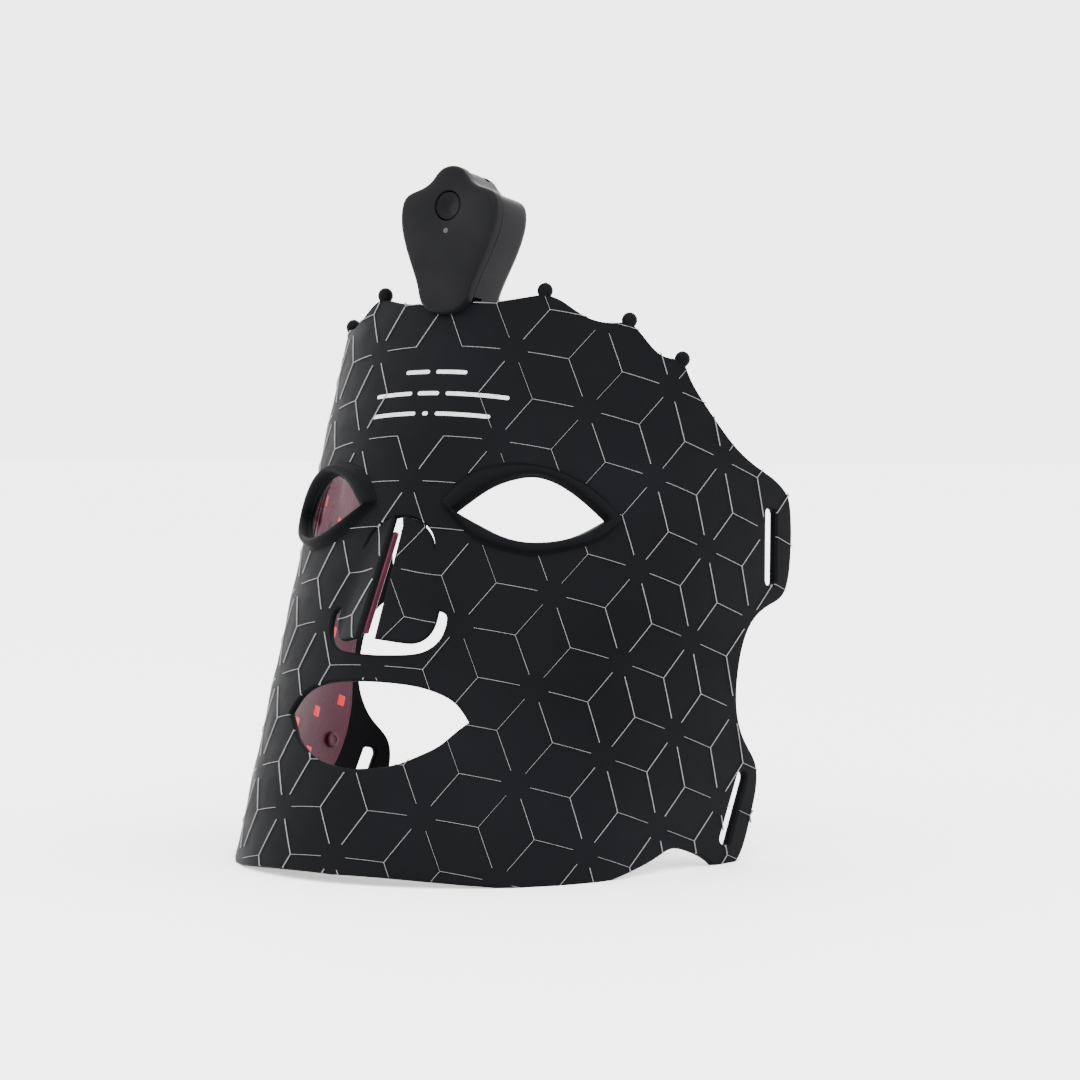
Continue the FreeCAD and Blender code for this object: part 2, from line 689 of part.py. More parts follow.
def corner_screws():
    """Four screws that close the box from the back."""
    parts = []
    for x, z in CORNER_SCREWS:
        shank = rod(x, z, SCREW_RADIUS, COVER_WALL + 0.4, HOUSING_BACK - SCREW_SINK + 0.1)
        head = rod(x, z, SCREW_HEAD, HOUSING_BACK - SCREW_SINK, HOUSING_BACK - SCREW_SINK + SCREW_HEAD_DEEP)
        cross = Part.makeBox(2.4, 0.8, 0.6, V(x - 1.2, HOUSING_BACK - 1.7, z - 0.3))
        parts.append(shank.fuse(head).cut(cross))
    return Part.Compound(parts)


def build():
    """Make every node in the standing frame."""
    sites = led_sites()
    room = sheet_room(TAB_HALF, TAB_TOP_V, SHEET_CLEAR)
    nodes = {"face_shell": face_shell(), "centre_liner": centre_liner(sites)}
    nodes["centre_flex_sheet"] = centre_flex()
    groups = {
        "leds_forehead": (0.0, FOREHEAD_END),
        "leds_cheeks": (FOREHEAD_END, CHIN_START),
        "leds_chin": (CHIN_START, 400.0),
    }
    for name, (first, last) in groups.items():
        nodes[name] = led_group([s for s in sites if first <= s[1] < last], FRONT_BEND)
    nodes["liner_studs"] = liner_studs()
    pairs = {"eye_rim": eye_rim(), "nose_flap": nose_flap()}
    pairs["nose_flap_liner"] = flap_liner()
    pairs["nose_flap_leds"] = flap_leds()
    for name, shape in pairs.items():
        nodes[name + "_right"] = shape
        nodes[name + "_left"] = twin(shape)
    for side, bend in (("right", RIGHT_BEND), ("left", LEFT_BEND)):
        wing = {"wing_shell": wing_shell(bend), "wing_liner": wing_liner(bend)}
        wing["wing_flex_sheet"] = wing_flex(bend)
        wing["wing_leds"] = led_group(wing_led_sites(), bend)
        for name, shape in wing.items():
            nodes[name + "_" + side] = twin(shape) if side == "left" else shape
    box = {"box_front_cover": front_cover(room), "box_rear_housing": rear_housing(room)}
    box["box_seal"] = seal_ring(room)
    box["power_button"] = power_button()
    box["button_switch"] = tact_switch()
    box["control_board"] = control_board()
    box["battery_cell"] = battery()
    box["battery_pad"] = battery_pad()
    box["flex_connector"] = flex_connector()
    box["control_chip"] = controller_chip()
    box["status_light_pipe"] = light_pipe()
    box["charging_port"] = usb_port()
    box["box_screws"] = corner_screws()
    for name, shape in box.items():
        nodes[name] = place_box(shape)
    return nodes


def hand_out(nodes):
    """Centre everything over the floor and write one file per node."""
    whole = FreeCAD.BoundBox()
    for shape in nodes.values():
        whole.add(shape.optimalBoundingBox(False, False))
    shift = V(-whole.Center.x, -whole.Center.y, -FLOOR_Z)
    for name, shape in nodes.items():
        done = shape.copy()
        done.translate(shift)
        done.exportStep("parts/" + name + ".step")
        print(name, done.isValid(), round(done.Volume), len(done.Solids))
    print("shift", shift, "size", whole.XLength, whole.YLength, whole.ZLength)


hand_out(build())
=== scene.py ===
import json
import math

import bmesh
import bpy
import numpy as np
from bpy.props import FloatProperty, FloatVectorProperty, PointerProperty
from mathutils import Matrix, Vector
from mathutils.geometry import delaunay_2d_cdt
from mathutils.kdtree import KDTree


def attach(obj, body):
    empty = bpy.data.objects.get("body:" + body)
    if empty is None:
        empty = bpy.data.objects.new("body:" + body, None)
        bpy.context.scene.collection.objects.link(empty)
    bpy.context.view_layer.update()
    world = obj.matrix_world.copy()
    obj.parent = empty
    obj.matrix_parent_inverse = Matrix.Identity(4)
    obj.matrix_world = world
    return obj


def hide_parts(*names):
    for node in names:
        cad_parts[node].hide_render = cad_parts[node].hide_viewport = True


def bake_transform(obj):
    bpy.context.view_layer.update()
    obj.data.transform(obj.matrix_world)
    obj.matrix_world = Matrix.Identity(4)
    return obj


bl_info = {
    "name": "Light Therapy Face Mask",
    "version": (1, 0, 0),
    "blender": (4, 5, 0),
    "location": "View3D > Sidebar > Face Mask",
    "description": "Builds a soft light therapy face mask around its packed frame",
    "category": "Object",
}

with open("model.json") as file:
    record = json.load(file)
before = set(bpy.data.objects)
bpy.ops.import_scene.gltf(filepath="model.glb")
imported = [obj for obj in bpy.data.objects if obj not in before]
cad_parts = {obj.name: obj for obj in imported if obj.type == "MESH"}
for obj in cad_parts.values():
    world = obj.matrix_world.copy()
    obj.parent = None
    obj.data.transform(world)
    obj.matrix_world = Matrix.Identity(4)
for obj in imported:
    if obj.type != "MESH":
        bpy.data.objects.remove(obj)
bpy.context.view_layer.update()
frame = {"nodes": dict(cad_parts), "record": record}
JOINTS = {joint["name"]: joint for joint in frame["record"]["behaviour"]["joints"]}
MM = 0.001

# Layers of the sheet, outer face at depth zero, in millimetres.
SKIN = 2.2
FLEX_TOP = -2.2
CUSHION_TOP = -2.6
CUSHION_BACK = -4.4
CUSHION_SHELF = 2.2
CUSHION_DROP = 0.7
CUSHION_ROUND = 0.35
FLAP_CUSHION_ROUND = 0.7
FILM_INSET = 0.3

# The sheet's flat layout, in millimetres: datum height, thick tabs, openings, lights and print.
DATUM_V = 90.0
TAB_START = 130.0
TAB_RUN = 4.0
TAB_SWELL = 0.45
SLIVER = 0.0001
SLOT_CORNER = 1.6
OPENING_MARGIN = 4.0
LIGHT_TOP = 24.0
LIGHT_PITCH = 15.0
WING_LIGHT_PITCH = 14.0
LIGHT_HALF = (2.0, 2.2)
LIGHT_CLIP = 0.3
TITLE_BAR = 1.3
PRINT_STEP = 2.0

# Shares of the star lattice's spacing: drop of its middle, and the bare ground round a title bar.
LATTICE_DROP = 3.5
TITLE_SHARE = 0.567

# Where the face panel ends and how far the sheet and the box lean.
SEAM_TURN = math.radians(72.0)
LEAN = math.radians(-20.4)
BOX_LEAN = math.radians(-7.1)

# Control box in millimetres: its tip in the frame, then x across, depth behind the cover, z up.
BOX_AT = (26.9, 80.7)
BUTTON_Z = 34.5
STATUS_Z = 26.5
PORT_DEPTH = 16.0
PORT_RADIUS = 1.8
PORT_HALF = 2.85
PORT_FLOOR = 38.2
FOOT_DEPTH = 10.5
FOOT_TOP = 6.0
SCREW_WELL = (2.0, 19.4, 24.0)
BOX_COUNT = 96

# Camera place from the sheet's origin in metres, and the way it looks.
CAMERA_AT = (0.523, -0.763, 0.039)
CAMERA_WAY = (-0.5237, 0.8513, -0.0314)

# Flat outlines of the right half: u across from the middle, v down from the top.
BROW_EDGE = [(0.0, 0.5), (10.0, 0.0), (18.0, -1.1), (24.2, -2.7), (31.8, -5.0)]
SCALLOP_A = [(31.8, -5.0), (36.5, -4.2), (41.5, -2.0), (47.2, 0.1), (53.0, 0.2), (60.2, -2.0)]
SCALLOP_B = [(60.2, -2.0), (64.0, 0.2), (67.7, 2.9), (72.5, 5.3), (80.9, 4.2)]
SIDE_EDGE = [
    (80.9, 4.2), (83.6, 7.8), (87.0, 11.2), (91.7, 14.5), (99.8, 19.2), (110.7, 24.1), (121.6, 26.3),
    (135.4, 28.2), (139.5, 30.3), (141.8, 33.9), (146.4, 49.6), (147.0, 55.5), (145.6, 61.8),
    (139.7, 67.1), (131.1, 76.6), (128.9, 86.0), (129.0, 93.0), (130.6, 101.8), (134.3, 108.9),
    (139.6, 113.6), (146.1, 118.1), (148.7, 124.7), (148.5, 133.6), (147.1, 144.8), (144.4, 151.0),
    (140.2, 154.3), (134.8, 154.9), (127.8, 153.9), (120.1, 153.6), (111.8, 155.1), (107.1, 158.6),
    (99.5, 164.2), (91.7, 169.2), (84.9, 172.9), (71.5, 177.4), (53.0, 181.3), (38.2, 183.1),
    (20.0, 184.4), (0.0, 185.2),
]
EYE_UPPER = [
    (17.3, 69.5), (22.7, 64.1), (28.2, 59.4), (33.9, 56.3), (39.8, 54.5), (46.1, 54.9), (52.9, 57.2),
    (64.2, 63.1),
]
EYE_LOWER = [
    (64.2, 63.1), (59.7, 67.2), (54.0, 71.3), (46.6, 74.3), (39.0, 75.5), (32.7, 74.7), (25.9, 72.4),
    (17.3, 69.5),
]
RIM_UPPER = [
    (11.9, 66.1), (16.8, 59.1), (22.4, 54.6), (28.4, 52.2), (37.5, 50.7), (47.0, 51.1), (57.1, 53.6),
    (70.2, 61.4),
]
RIM_LOWER = [
    (70.2, 61.4), (63.5, 70.1), (57.5, 73.9), (51.8, 76.7), (44.5, 79.6), (36.7, 79.8), (27.0, 78.1),
    (11.9, 66.1),
]
MOUTH_LOWER = [
    (0.0, 152.5), (9.5, 151.3), (15.8, 149.4), (21.6, 146.2), (27.1, 142.3), (30.9, 137.9), (34.5, 134.0),
]
MOUTH_UPPER = [(34.5, 134.0), (29.1, 128.8), (24.0, 126.7), (17.3, 125.4), (9.0, 124.9), (0.0, 124.8)]
NOSE_FOOT = [
    (0.0, 116.4), (11.2, 115.6), (16.6, 114.0), (20.6, 109.8), (21.6, 105.2), (20.8, 101.8), (18.4, 101.0),
]
NOSE_HINGE = [(18.4, 101.0), (13.4, 82.0)]
NOSE_ARCH = [(13.4, 82.0), (11.4, 77.0), (7.0, 73.2), (0.0, 71.6)]
FLAP_ARCH = [(1.75, 72.1), (6.8, 73.55), (11.1, 77.2), (13.4, 82.0)]
FLAP_HINGE = [(13.4, 82.0), (18.4, 101.0)]
FLAP_FOOT = [(18.4, 101.0), (18.3, 105.5), (16.8, 109.6), (13.8, 112.2), (10.0, 113.0), (1.75, 113.4)]
FLAP_MIDDLE = [(1.75, 113.4), (1.75, 72.1)]
FLAP = [(FLAP_ARCH, "round"), (FLAP_HINGE, "cut"), (FLAP_FOOT, "round"), (FLAP_MIDDLE, "round")]
UPPER_SLOT = [(128.6, 37.6), (134.0, 36.6), (140.4, 60.0), (135.2, 61.8)]
LOWER_SLOT = [(137.8, 123.0), (142.6, 122.2), (138.8, 147.4), (133.8, 147.0)]
EYE_CENTRE = (41.0, 65.0)
MOUTH_CENTRE = (0.0, 138.0)
NOSE_CENTRE = (0.0, 97.0)
LIGHT_FREE = [(EYE_CENTRE, 35.0, 19.0), (MOUTH_CENTRE, 43.0, 21.0), (NOSE_CENTRE, 28.0, 30.0)]
OUTLINE = [(BROW_EDGE, "round"), (SCALLOP_A, "round"), (SCALLOP_B, "round"), (SIDE_EDGE, "round")]
EYE = [(EYE_UPPER, "round"), (EYE_LOWER, "round")]
MOUTH = [(MOUTH_LOWER, "round"), (MOUTH_UPPER, "round")]
NOSE = [(NOSE_FOOT, "round"), (NOSE_HINGE, "cut"), (NOSE_ARCH, "round")]
CUSHION_EDGE = [
    (0.0, 14.0), (24.0, 12.0), (48.0, 13.5), (72.0, 19.0), (91.7, 28.4), (104.0, 35.0), (116.0, 39.0),
    (122.0, 45.0), (124.0, 56.0), (122.6, 70.0), (123.4, 80.0), (124.6, 90.0), (126.0, 100.0),
    (128.4, 111.0), (128.6, 122.0), (126.4, 132.0), (121.0, 140.0), (108.0, 145.0), (91.7, 155.7),
    (72.0, 163.5), (48.0, 168.5), (24.0, 171.0), (0.0, 171.6),
]
FLAP_CUSHION = [
    (2.4, 76.6), (6.6, 78.2), (9.2, 81.2), (11.0, 84.0), (14.9, 99.8), (15.0, 104.4), (13.8, 107.4),
    (11.6, 109.0), (2.4, 110.6),
]
NUBS = [(31.8, -6.4), (60.2, -2.6), (80.9, 4.0)]
STUDS = [(22.5, 31.5), (52.5, 31.5), (66.0, 91.5), (66.0, 136.5), (30.0, 166.0)]
WING_STUD = (121.0, 125.0)
WING_LEDS = [(98.0, 55.0, 7), (110.0, 48.0, 7), (122.0, 97.0, 2)]
FLAP_LEDS = [(8.0, 88.0), (9.5, 101.0)]
COVER_HALF = [
    (0.0, 47.6), (4.2, 46.2), (7.4, 42.6), (12.0, 40.2), (16.6, 38.0), (18.0, 33.5), (17.0, 26.0),
    (14.5, 19.2), (11.7, 13.0), (9.9, 8.4), (8.4, 4.0), (4.8, 0.8), (0.0, 0.0),
]
TITLE_BARS = [
    (23.6, -10.6, -1.2), (23.6, 1.2, 12.2), (30.8, -22.0, -6.5), (30.8, -4.2, 3.8), (30.8, 6.2, 27.5),
    (37.6, -22.0, -3.6), (37.6, -0.9, 1.2), (37.6, 3.8, 22.6),
]
BOX_SCREWS = [(12.6, 33.0), (-12.6, 33.0), (9.2, 15.9), (-9.2, 15.9)]


class SheetSizes(bpy.types.PropertyGroup):
    """Sizes of the bent sheet."""
    front_radius: FloatProperty(name="Front radius", description="Bend of the face panel, mm",
                                default=73.0, min=40.0)
    wing_right: FloatProperty(name="Right wing radius", description="Bend of the right wing, mm",
                              default=285.0, min=40.0)
    wing_left: FloatProperty(name="Left wing radius", description="Bend of the left wing, mm",
                             default=60.0, min=40.0)
    edge_round: FloatProperty(name="Edge round", description="Rounding of the skin edge, mm",
                              default=0.9, min=0.1)
    grid: FloatProperty(name="Mesh grid", description="Distance between inner mesh points, mm",
                        default=3.0, min=1.0)
    edge_step: FloatProperty(name="Edge step", description="Distance between edge points, mm",
                             default=1.3, min=0.5)
    bend_reach: FloatProperty(name="Bend reach", description="Length that turns at a wing, mm",
                              default=14.0, min=2.0)
    rim_height: FloatProperty(name="Rim height", description="How far an eye rim stands out, mm",
                              default=2.8, min=1.0)
    flap_turn: FloatProperty(name="Flap turn", description="Outward turn of a nose flap at rest",
                             default=math.radians(26.0), subtype="ANGLE")
    flap_reach: FloatProperty(name="Flap bend", description="Length over which a nose flap turns, mm",
                              default=7.0, min=1.0)


class PatternSizes(bpy.types.PropertyGroup):
    """Sizes of the printed line pattern."""
    spacing: FloatProperty(name="Spacing", description="Distance between line centres, mm",
                           default=30.0, min=5.0)
    arm_share: FloatProperty(name="Arm share", description="Drawn part of each arm",
                             default=0.74, min=0.1, max=1.0, subtype="FACTOR")
    line_width: FloatProperty(name="Line width", description="Width of a printed line, mm",
                              default=0.72, min=0.1)
    ink_height: FloatProperty(name="Ink height", description="Height of the print, mm",
                              default=0.05, min=0.01)
    piece_length: FloatProperty(name="Piece length", description="Length of one line piece, mm",
                                default=0.8, min=0.2)


class FinishColours(bpy.types.PropertyGroup):
    """Colours of the finishes."""
    silicone: FloatVectorProperty(name="Silicone", description="Skin colour", subtype="COLOR", size=3,
                                  default=(0.0024, 0.0025, 0.0030))
    ink: FloatVectorProperty(name="Ink", description="Printed line colour", subtype="COLOR", size=3,
                             default=(0.17, 0.17, 0.178))
    cushion: FloatVectorProperty(name="Cushion", description="Clear cushion tint", subtype="COLOR", size=3,
                                 default=(0.060, 0.012, 0.024))
    glow: FloatVectorProperty(name="Glow", description="LED light",
                              subtype="COLOR", size=3, default=(1.0, 0.02, 0.03))
    plastic: FloatVectorProperty(name="Plastic", description="Control box colour", subtype="COLOR", size=3,
                                 default=(0.0048, 0.0048, 0.0054))


class StageSizes(bpy.types.PropertyGroup):
    """Floor, lights and camera."""
    lens: FloatProperty(name="Lens", description="Camera focal length, mm", default=100.0, min=20.0)
    floor_size: FloatProperty(name="Floor", description="Width of the floor", default=40.0, unit="LENGTH")
    light_power: FloatProperty(name="Light power", description="Strength of the main light, W",
                               default=16.0, min=0.0)
    sky: FloatProperty(name="Sky", description="Strength of the surrounding light", default=4.2, min=0.0)
    sun: FloatProperty(name="Top light", description="Strength of the soft light from above",
                       default=2.0, min=0.0)


GROUPS = {
    "mask_sheet": SheetSizes,
    "mask_pattern": PatternSizes,
    "mask_finish": FinishColours,
    "mask_stage": StageSizes,
}


# ---------------------------------------------------------------- flat shapes

def smooth_line(points, step):
    """Points of a smooth curve through the given points, about one step apart."""
    p = np.array(points, float)
    chord = np.hypot(*np.diff(p, axis=0).T)
    t = np.concatenate([[0.0], np.cumsum(chord)])
    count = max(2, int(math.ceil(t[-1] / step)))
    s = np.linspace(0.0, t[-1], count + 1)
    if len(p) == 2:
        return p[0] + (p[1] - p[0]) * (s / t[-1])[:, None]
    n = len(p)
    system = np.eye(n)
    right = np.zeros((n, 2))
    for i in range(1, n - 1):
        a, b = t[i] - t[i - 1], t[i + 1] - t[i]
        system[i, i - 1:i + 2] = (a, 2 * (a + b), b)
        right[i] = 6 * ((p[i + 1] - p[i]) / b - (p[i] - p[i - 1]) / a)
    m = np.linalg.solve(system, right)
    k = np.clip(np.searchsorted(t, s, side="right") - 1, 0, n - 2)
    h = (t[k + 1] - t[k])[:, None]
    a = (t[k + 1] - s)[:, None]
    b = (s - t[k])[:, None]
    curve = m[k] * a ** 3 / (6 * h) + m[k + 1] * b ** 3 / (6 * h)
    curve += (p[k] / h - m[k] * h / 6) * a + (p[k + 1] / h - m[k + 1] * h / 6) * b
    return curve


def closed_loop(parts, step):
    """Joins (points, kind) parts into one closed loop; kind is round or cut. Gives places and kinds."""
    places, kinds = [], []
    for points, kind in parts:
        line = smooth_line(points, step)
        places.append(line[:-1])
        kinds += [kind] * (len(line) - 1)
    return np.concatenate(places), kinds


def rounded_corners(corners, radius, steps=5):
    """Closed polygon with its corners turned into arcs."""
    out = []
    count = len(corners)
    for i in range(count):
        here = Vector(corners[i])
        before = (Vector(corners[i - 1]) - here).normalized()
        after = (Vector(corners[(i + 1) % count]) - here).normalized()
        half = before.angle(after) / 2
        reach = radius / math.tan(half)
        centre = here + (before + after).normalized() * (radius / math.sin(half))
        first = here + before * reach - centre
        last = here + after * reach - centre
        for k in range(steps + 1):
            spoke = first.lerp(last, k / steps).normalized() * radius
            out.append(tuple(centre + spoke))
    return out


def polygon_area(places):
    """Signed area of a closed polygon."""
    x, y = places[:, 0], places[:, 1]
    return 0.5 * float(np.sum(x * np.roll(y, -1) - y * np.roll(x, -1)))


def inside(points, loops):
    """Which points lie in the outer loop and outside the holes."""
    odd = np.zeros(len(points), bool)
    for loop in loops:
        x0, y0 = loop[:, 0], loop[:, 1]
        x1, y1 = np.roll(x0, -1), np.roll(y0, -1)
        for a, b, c, d in zip(x0, y0, x1, y1):
            if b == d:
                continue
            cross = (points[:, 1] < b) != (points[:, 1] < d)
            at = a + (points[:, 1] - b) * (c - a) / (d - b)
            odd ^= cross & (points[:, 0] < at)
    return odd


def inward(places, kinds, is_hole):
    """Direction in which each loop point moves into the material."""
    if (polygon_area(places) > 0) == is_hole:
        turn = -1.0
    else:
        turn = 1.0
    before = places - np.roll(places, 1, axis=0)
    after = np.roll(places, -1, axis=0) - places
    before /= np.maximum(np.linalg.norm(before, axis=1), 1e-9)[:, None]
    after /= np.maximum(np.linalg.norm(after, axis=1), 1e-9)[:, None]
    normal_a = np.stack([-before[:, 1], before[:, 0]], 1) * turn
    normal_b = np.stack([-after[:, 1], after[:, 0]], 1) * turn
    middle = normal_a + normal_b
    size = np.maximum(np.linalg.norm(middle, axis=1), 0.35)
    out = middle / size[:, None]
    out *= np.minimum(2.0 / size, 1.7)[:, None]
    for i, kind in enumerate(kinds):
        past = kinds[i - 1]
        if kind == "cut" and past == "cut":
            out[i] = 0.0
        elif kind == "cut":
            out[i] = after[i]
        elif past == "cut":
            out[i] = -before[i]
    return out


def rounded_profile(top, back, radius, steps=4):
    """Edge profile of a sheet: (move inward, depth, share outward, share up)."""
    rows = []
    turns = [math.pi / 2 * k / steps for k in range(steps + 1)]
    for s, c in [(math.sin(a), math.cos(a)) for a in turns]:
        rows.append((radius * (1 - s), top - radius * (1 - c), s, c))
    for s, c in [(math.sin(a), math.cos(a)) for a in turns]:
        rows.append((radius * (1 - c), back + radius * (1 - s), c, -s))
    return rows


def stepped_profile():
    """Edge profile of the moulded cushion, with a shelf part-way down."""
    top, back, shelf, radius = CUSHION_TOP, CUSHION_BACK, CUSHION_SHELF, CUSHION_ROUND
    low = top - CUSHION_DROP
    rows = [(0.0, top, 0.0, 1.0), (0.0, top, 1.0, 0.0), (0.0, low + 0.25, 1.0, 0.0)]
    rows += [(0.1, low + 0.05, 0.6, -0.8), (0.35, low, 0.0, -1.0)]
    rows += [(shelf - 0.15, low, 0.0, -1.0), (shelf, low - 0.1, 0.8, -0.4)]
    rows += [(shelf, back + radius, 1.0, 0.0), (shelf + radius * 0.3, back + radius * 0.3, 0.7, -0.7)]
    rows += [(shelf + radius, back, 0.0, -1.0)]
    return rows


def filled(loops, extra=()):
    """Triangles inside an outline with holes. Gives the places, the triangles and each place's source."""
    edges, base = [], 0
    for loop in loops:
        count = len(loop)
        edges += [(base + k, base + (k + 1) % count) for k in range(count)]
        base += count
    seeds = [Vector(at) for loop in loops for at in loop] + [Vector(at) for at in extra]
    spots, _, tris, source, _, _ = delaunay_2d_cdt(seeds, edges, [], 0, 1e-7)
    middles = np.array([[sum(spots[i][k] for i in tri) / 3 for k in (0, 1)] for tri in tris])
    kept = [tri for tri, good in zip(tris, inside(middles, loops)) if good]
    return spots, kept, source


def flat_sheet(loops, profile, grid):
    """Closed flat sheet: loops of (places, kinds), outer first, edges shaped by the profile.
    Gives points (u, v, depth), point directions and faces."""
    points, aims, faces = [], [], []
    rings = []
    for number, (places, kinds) in enumerate(loops):
        into = inward(places, kinds, number > 0)
        unit = into / np.maximum(np.linalg.norm(into, axis=1), 1e-9)[:, None]
        ring_set = []
        for move, depth, out_share, up_share in profile:
            start = len(points)
            spot = places + into * move
            for at, away in zip(spot, unit):
                points.append((at[0], at[1], depth))
                aims.append((-away[0] * out_share, -away[1] * out_share, up_share))
            ring_set.append(range(start, len(points)))
        count = len(places)
        flip = (polygon_area(places) > 0) != (number > 0)
        for a, b in zip(ring_set, ring_set[1:]):
            quads = band(a[0], b[0], count)
            faces += quads if flip else [quad[::-1] for quad in quads]
        rings.append(ring_set)
    for side, up in ((0, 1.0), (-1, -1.0)):
        depth = profile[side][1]
        ends = [ring_set[side] for ring_set in rings]
        edge_loops = [np.array([points[i][:2] for i in end]) for end in ends]
        indices = [i for end in ends for i in end]
        flat = np.concatenate(edge_loops)
        low, high = flat.min(0), flat.max(0)
        us = np.arange(low[0] + grid * 0.37, high[0], grid)
        vs = np.arange(low[1] + grid * 0.41, high[1], grid * 0.866)
        mesh_u, mesh_v = np.meshgrid(us, vs)
        mesh_u = mesh_u + (np.arange(len(vs)) % 2)[:, None] * grid / 2
        fill = np.stack([mesh_u.ravel(), mesh_v.ravel()], 1)
        fill = fill[inside(fill, edge_loops)]
        tree = KDTree(len(flat))
        for i, at in enumerate(flat):
            tree.insert((at[0], at[1], 0.0), i)
        tree.balance()
        fill = [at for at in fill if tree.find((at[0], at[1], 0.0))[2] > grid * 0.5]
        spots, tris, source = filled(edge_loops, fill)
        number_of = {}
        for i, came in enumerate(source):
            if came and came[0] < len(indices):
                number_of[i] = indices[came[0]]
            else:
                number_of[i] = len(points)
                points.append((spots[i][0], spots[i][1], depth))
                aims.append((0.0, 0.0, up))
        for tri in tris:
            ids = [number_of[i] for i in tri]
            a, b, c = (np.array(points[i][:2]) for i in ids)
            area = (b[0] - a[0]) * (c[1] - a[1]) - (b[1] - a[1]) * (c[0] - a[0])
            if abs(area) > SLIVER:
                faces.append(tuple(ids if (area > 0) == (up < 0) else ids[::-1]))
    return np.array(points), np.array(aims), faces


# ---------------------------------------------------------------- meshes

def linked(name, data):
    """New object of some data, in the scene."""
    made = bpy.data.objects.new(name, data)
    bpy.context.scene.collection.objects.link(made)
    return made


def smoothed(mesh, sharp=None):
    """Smooth faces, with sharp edges past an angle if one is given."""
    mesh.polygons.foreach_set("use_smooth", [True] * len(mesh.polygons))
    if sharp is not None:
        mesh.set_sharp_from_angle(angle=math.radians(sharp))


def outward(mesh, fill=False):
    """Turns all faces of a closed mesh outward, after filling slits left at sharp corners."""
    soft = bmesh.new()
    soft.from_mesh(mesh)
    if fill:
        rim = [edge for edge in soft.edges if edge.is_boundary]
        bmesh.ops.holes_fill(soft, edges=rim, sides=0)
    bmesh.ops.recalc_face_normals(soft, faces=soft.faces)
    soft.to_mesh(mesh)
    soft.free()


def band(first, second, count):
    """Quads between two closed rings that start at the given indices."""
    return [(first + k, first + (k + 1) % count, second + (k + 1) % count, second + k) for k in range(count)]


# ---------------------------------------------------------------- bending

def on_sheet(uvd):
    """Row-frame places, in metres, of flat (u, v, depth) points."""
    sizes = bpy.context.scene.mask_sheet
    front = sizes.front_radius
    u, v, depth = np.asarray(uvd, float).reshape(-1, 3).T
    seam = front * SEAM_TURN
    side = np.where(u < 0, -1.0, 1.0)
    wing = np.where(u < 0, sizes.wing_left, sizes.wing_right)
    reach = np.abs(u)
    beyond = reach > seam
    turn = np.where(beyond, SEAM_TURN + (reach - seam) / wing, reach / front)
    radius = np.where(beyond, wing, front)
    centre_x = np.where(beyond, (front - wing) * math.sin(SEAM_TURN), 0.0)
    centre_y = np.where(beyond, front - (front - wing) * math.cos(SEAM_TURN), front)
    x = side * (centre_x + (radius + depth) * np.sin(turn))
    y = centre_y - (radius + depth) * np.cos(turn)
    z = DATUM_V - v
    c, s = math.cos(LEAN), math.sin(LEAN)
    stood = np.stack([x, y * c - z * s, y * s + z * c], 1) * MM
    return stood + SHEET_AT


def sheet_origin():
    """Offset that sets the bent sheet on the frame's wing hinge."""
    global SHEET_AT
    SHEET_AT = np.zeros(3)
    seam = bpy.context.scene.mask_sheet.front_radius * SEAM_TURN
    hinge = np.array(JOINTS["wing_right_bend"]["pos_m"])
    SHEET_AT = hinge - on_sheet([(seam, DATUM_V, 0.0)])[0]


def flap_bend(uvd):
    """Flat points of a nose flap after its outward turn."""
    sizes = bpy.context.scene.mask_sheet
    top, foot = np.array(FLAP_HINGE[0]), np.array(FLAP_HINGE[1])
    along = (foot - top) / np.linalg.norm(foot - top)
    out = np.array(uvd, float)
    side = np.where(out[:, 0] < 0, -1.0, 1.0)
    flat = np.stack([np.abs(out[:, 0]), out[:, 1]], 1) - top
    toward = np.array([-along[1], along[0]])
    s = flat @ toward
    run = flat @ along
    reach, whole = sizes.flap_reach, sizes.flap_turn
    radius = reach / whole
    turn = whole * np.clip(s / reach, 0.0, 1.0)
    past = np.maximum(s - reach, 0.0)
    rise = radius * (1 - np.cos(turn)) + past * math.sin(whole)
    go = np.where(s < 0, s, radius * np.sin(turn) + past * math.cos(whole))
    depth = out[:, 2]
    go = go - depth * np.sin(turn)
    flat = top + along * run[:, None] + toward * go[:, None]
    return np.stack([flat[:, 0] * side, flat[:, 1], rise + depth * np.cos(turn)], 1)


def stood_mesh(name, points, aims, faces, material, mirror=False, shape=None, solid=True):
    """Mesh object from flat points, bent, with directions carried through the bend."""
    points = np.array(points, float)
    aims = np.array(aims, float)
    if mirror:
        points[:, 0] *= -1
        aims[:, 0] *= -1
        faces = [face[::-1] for face in faces]
    place = (lambda p: on_sheet(shape(p))) if shape else on_sheet
    spots = place(points)
    step = 0.01
    columns = [(place(points + np.eye(3)[k] * step) - spots) / step for k in range(3)]
    jacobian = np.stack(columns, 2)
    directions = np.einsum("nij,ni->nj", np.linalg.inv(jacobian), aims)
    directions /= np.maximum(np.linalg.norm(directions, axis=1), 1e-9)[:, None]
    spots[:, 2] = np.maximum(spots[:, 2], 0.0)
    mesh = bpy.data.meshes.new(name)
    mesh.from_pydata(spots.tolist(), [], faces)
    if solid:
        outward(mesh, True)
    smoothed(mesh)
    flat = mesh.attributes.new("flat", "FLOAT_VECTOR", "POINT")
    flat.data.foreach_set("vector", (points * MM).ravel())
    mesh.normals_split_custom_set_from_vertices(directions.tolist())
    mesh.validate()
    mesh.materials.append(material)
    return linked(name, mesh)


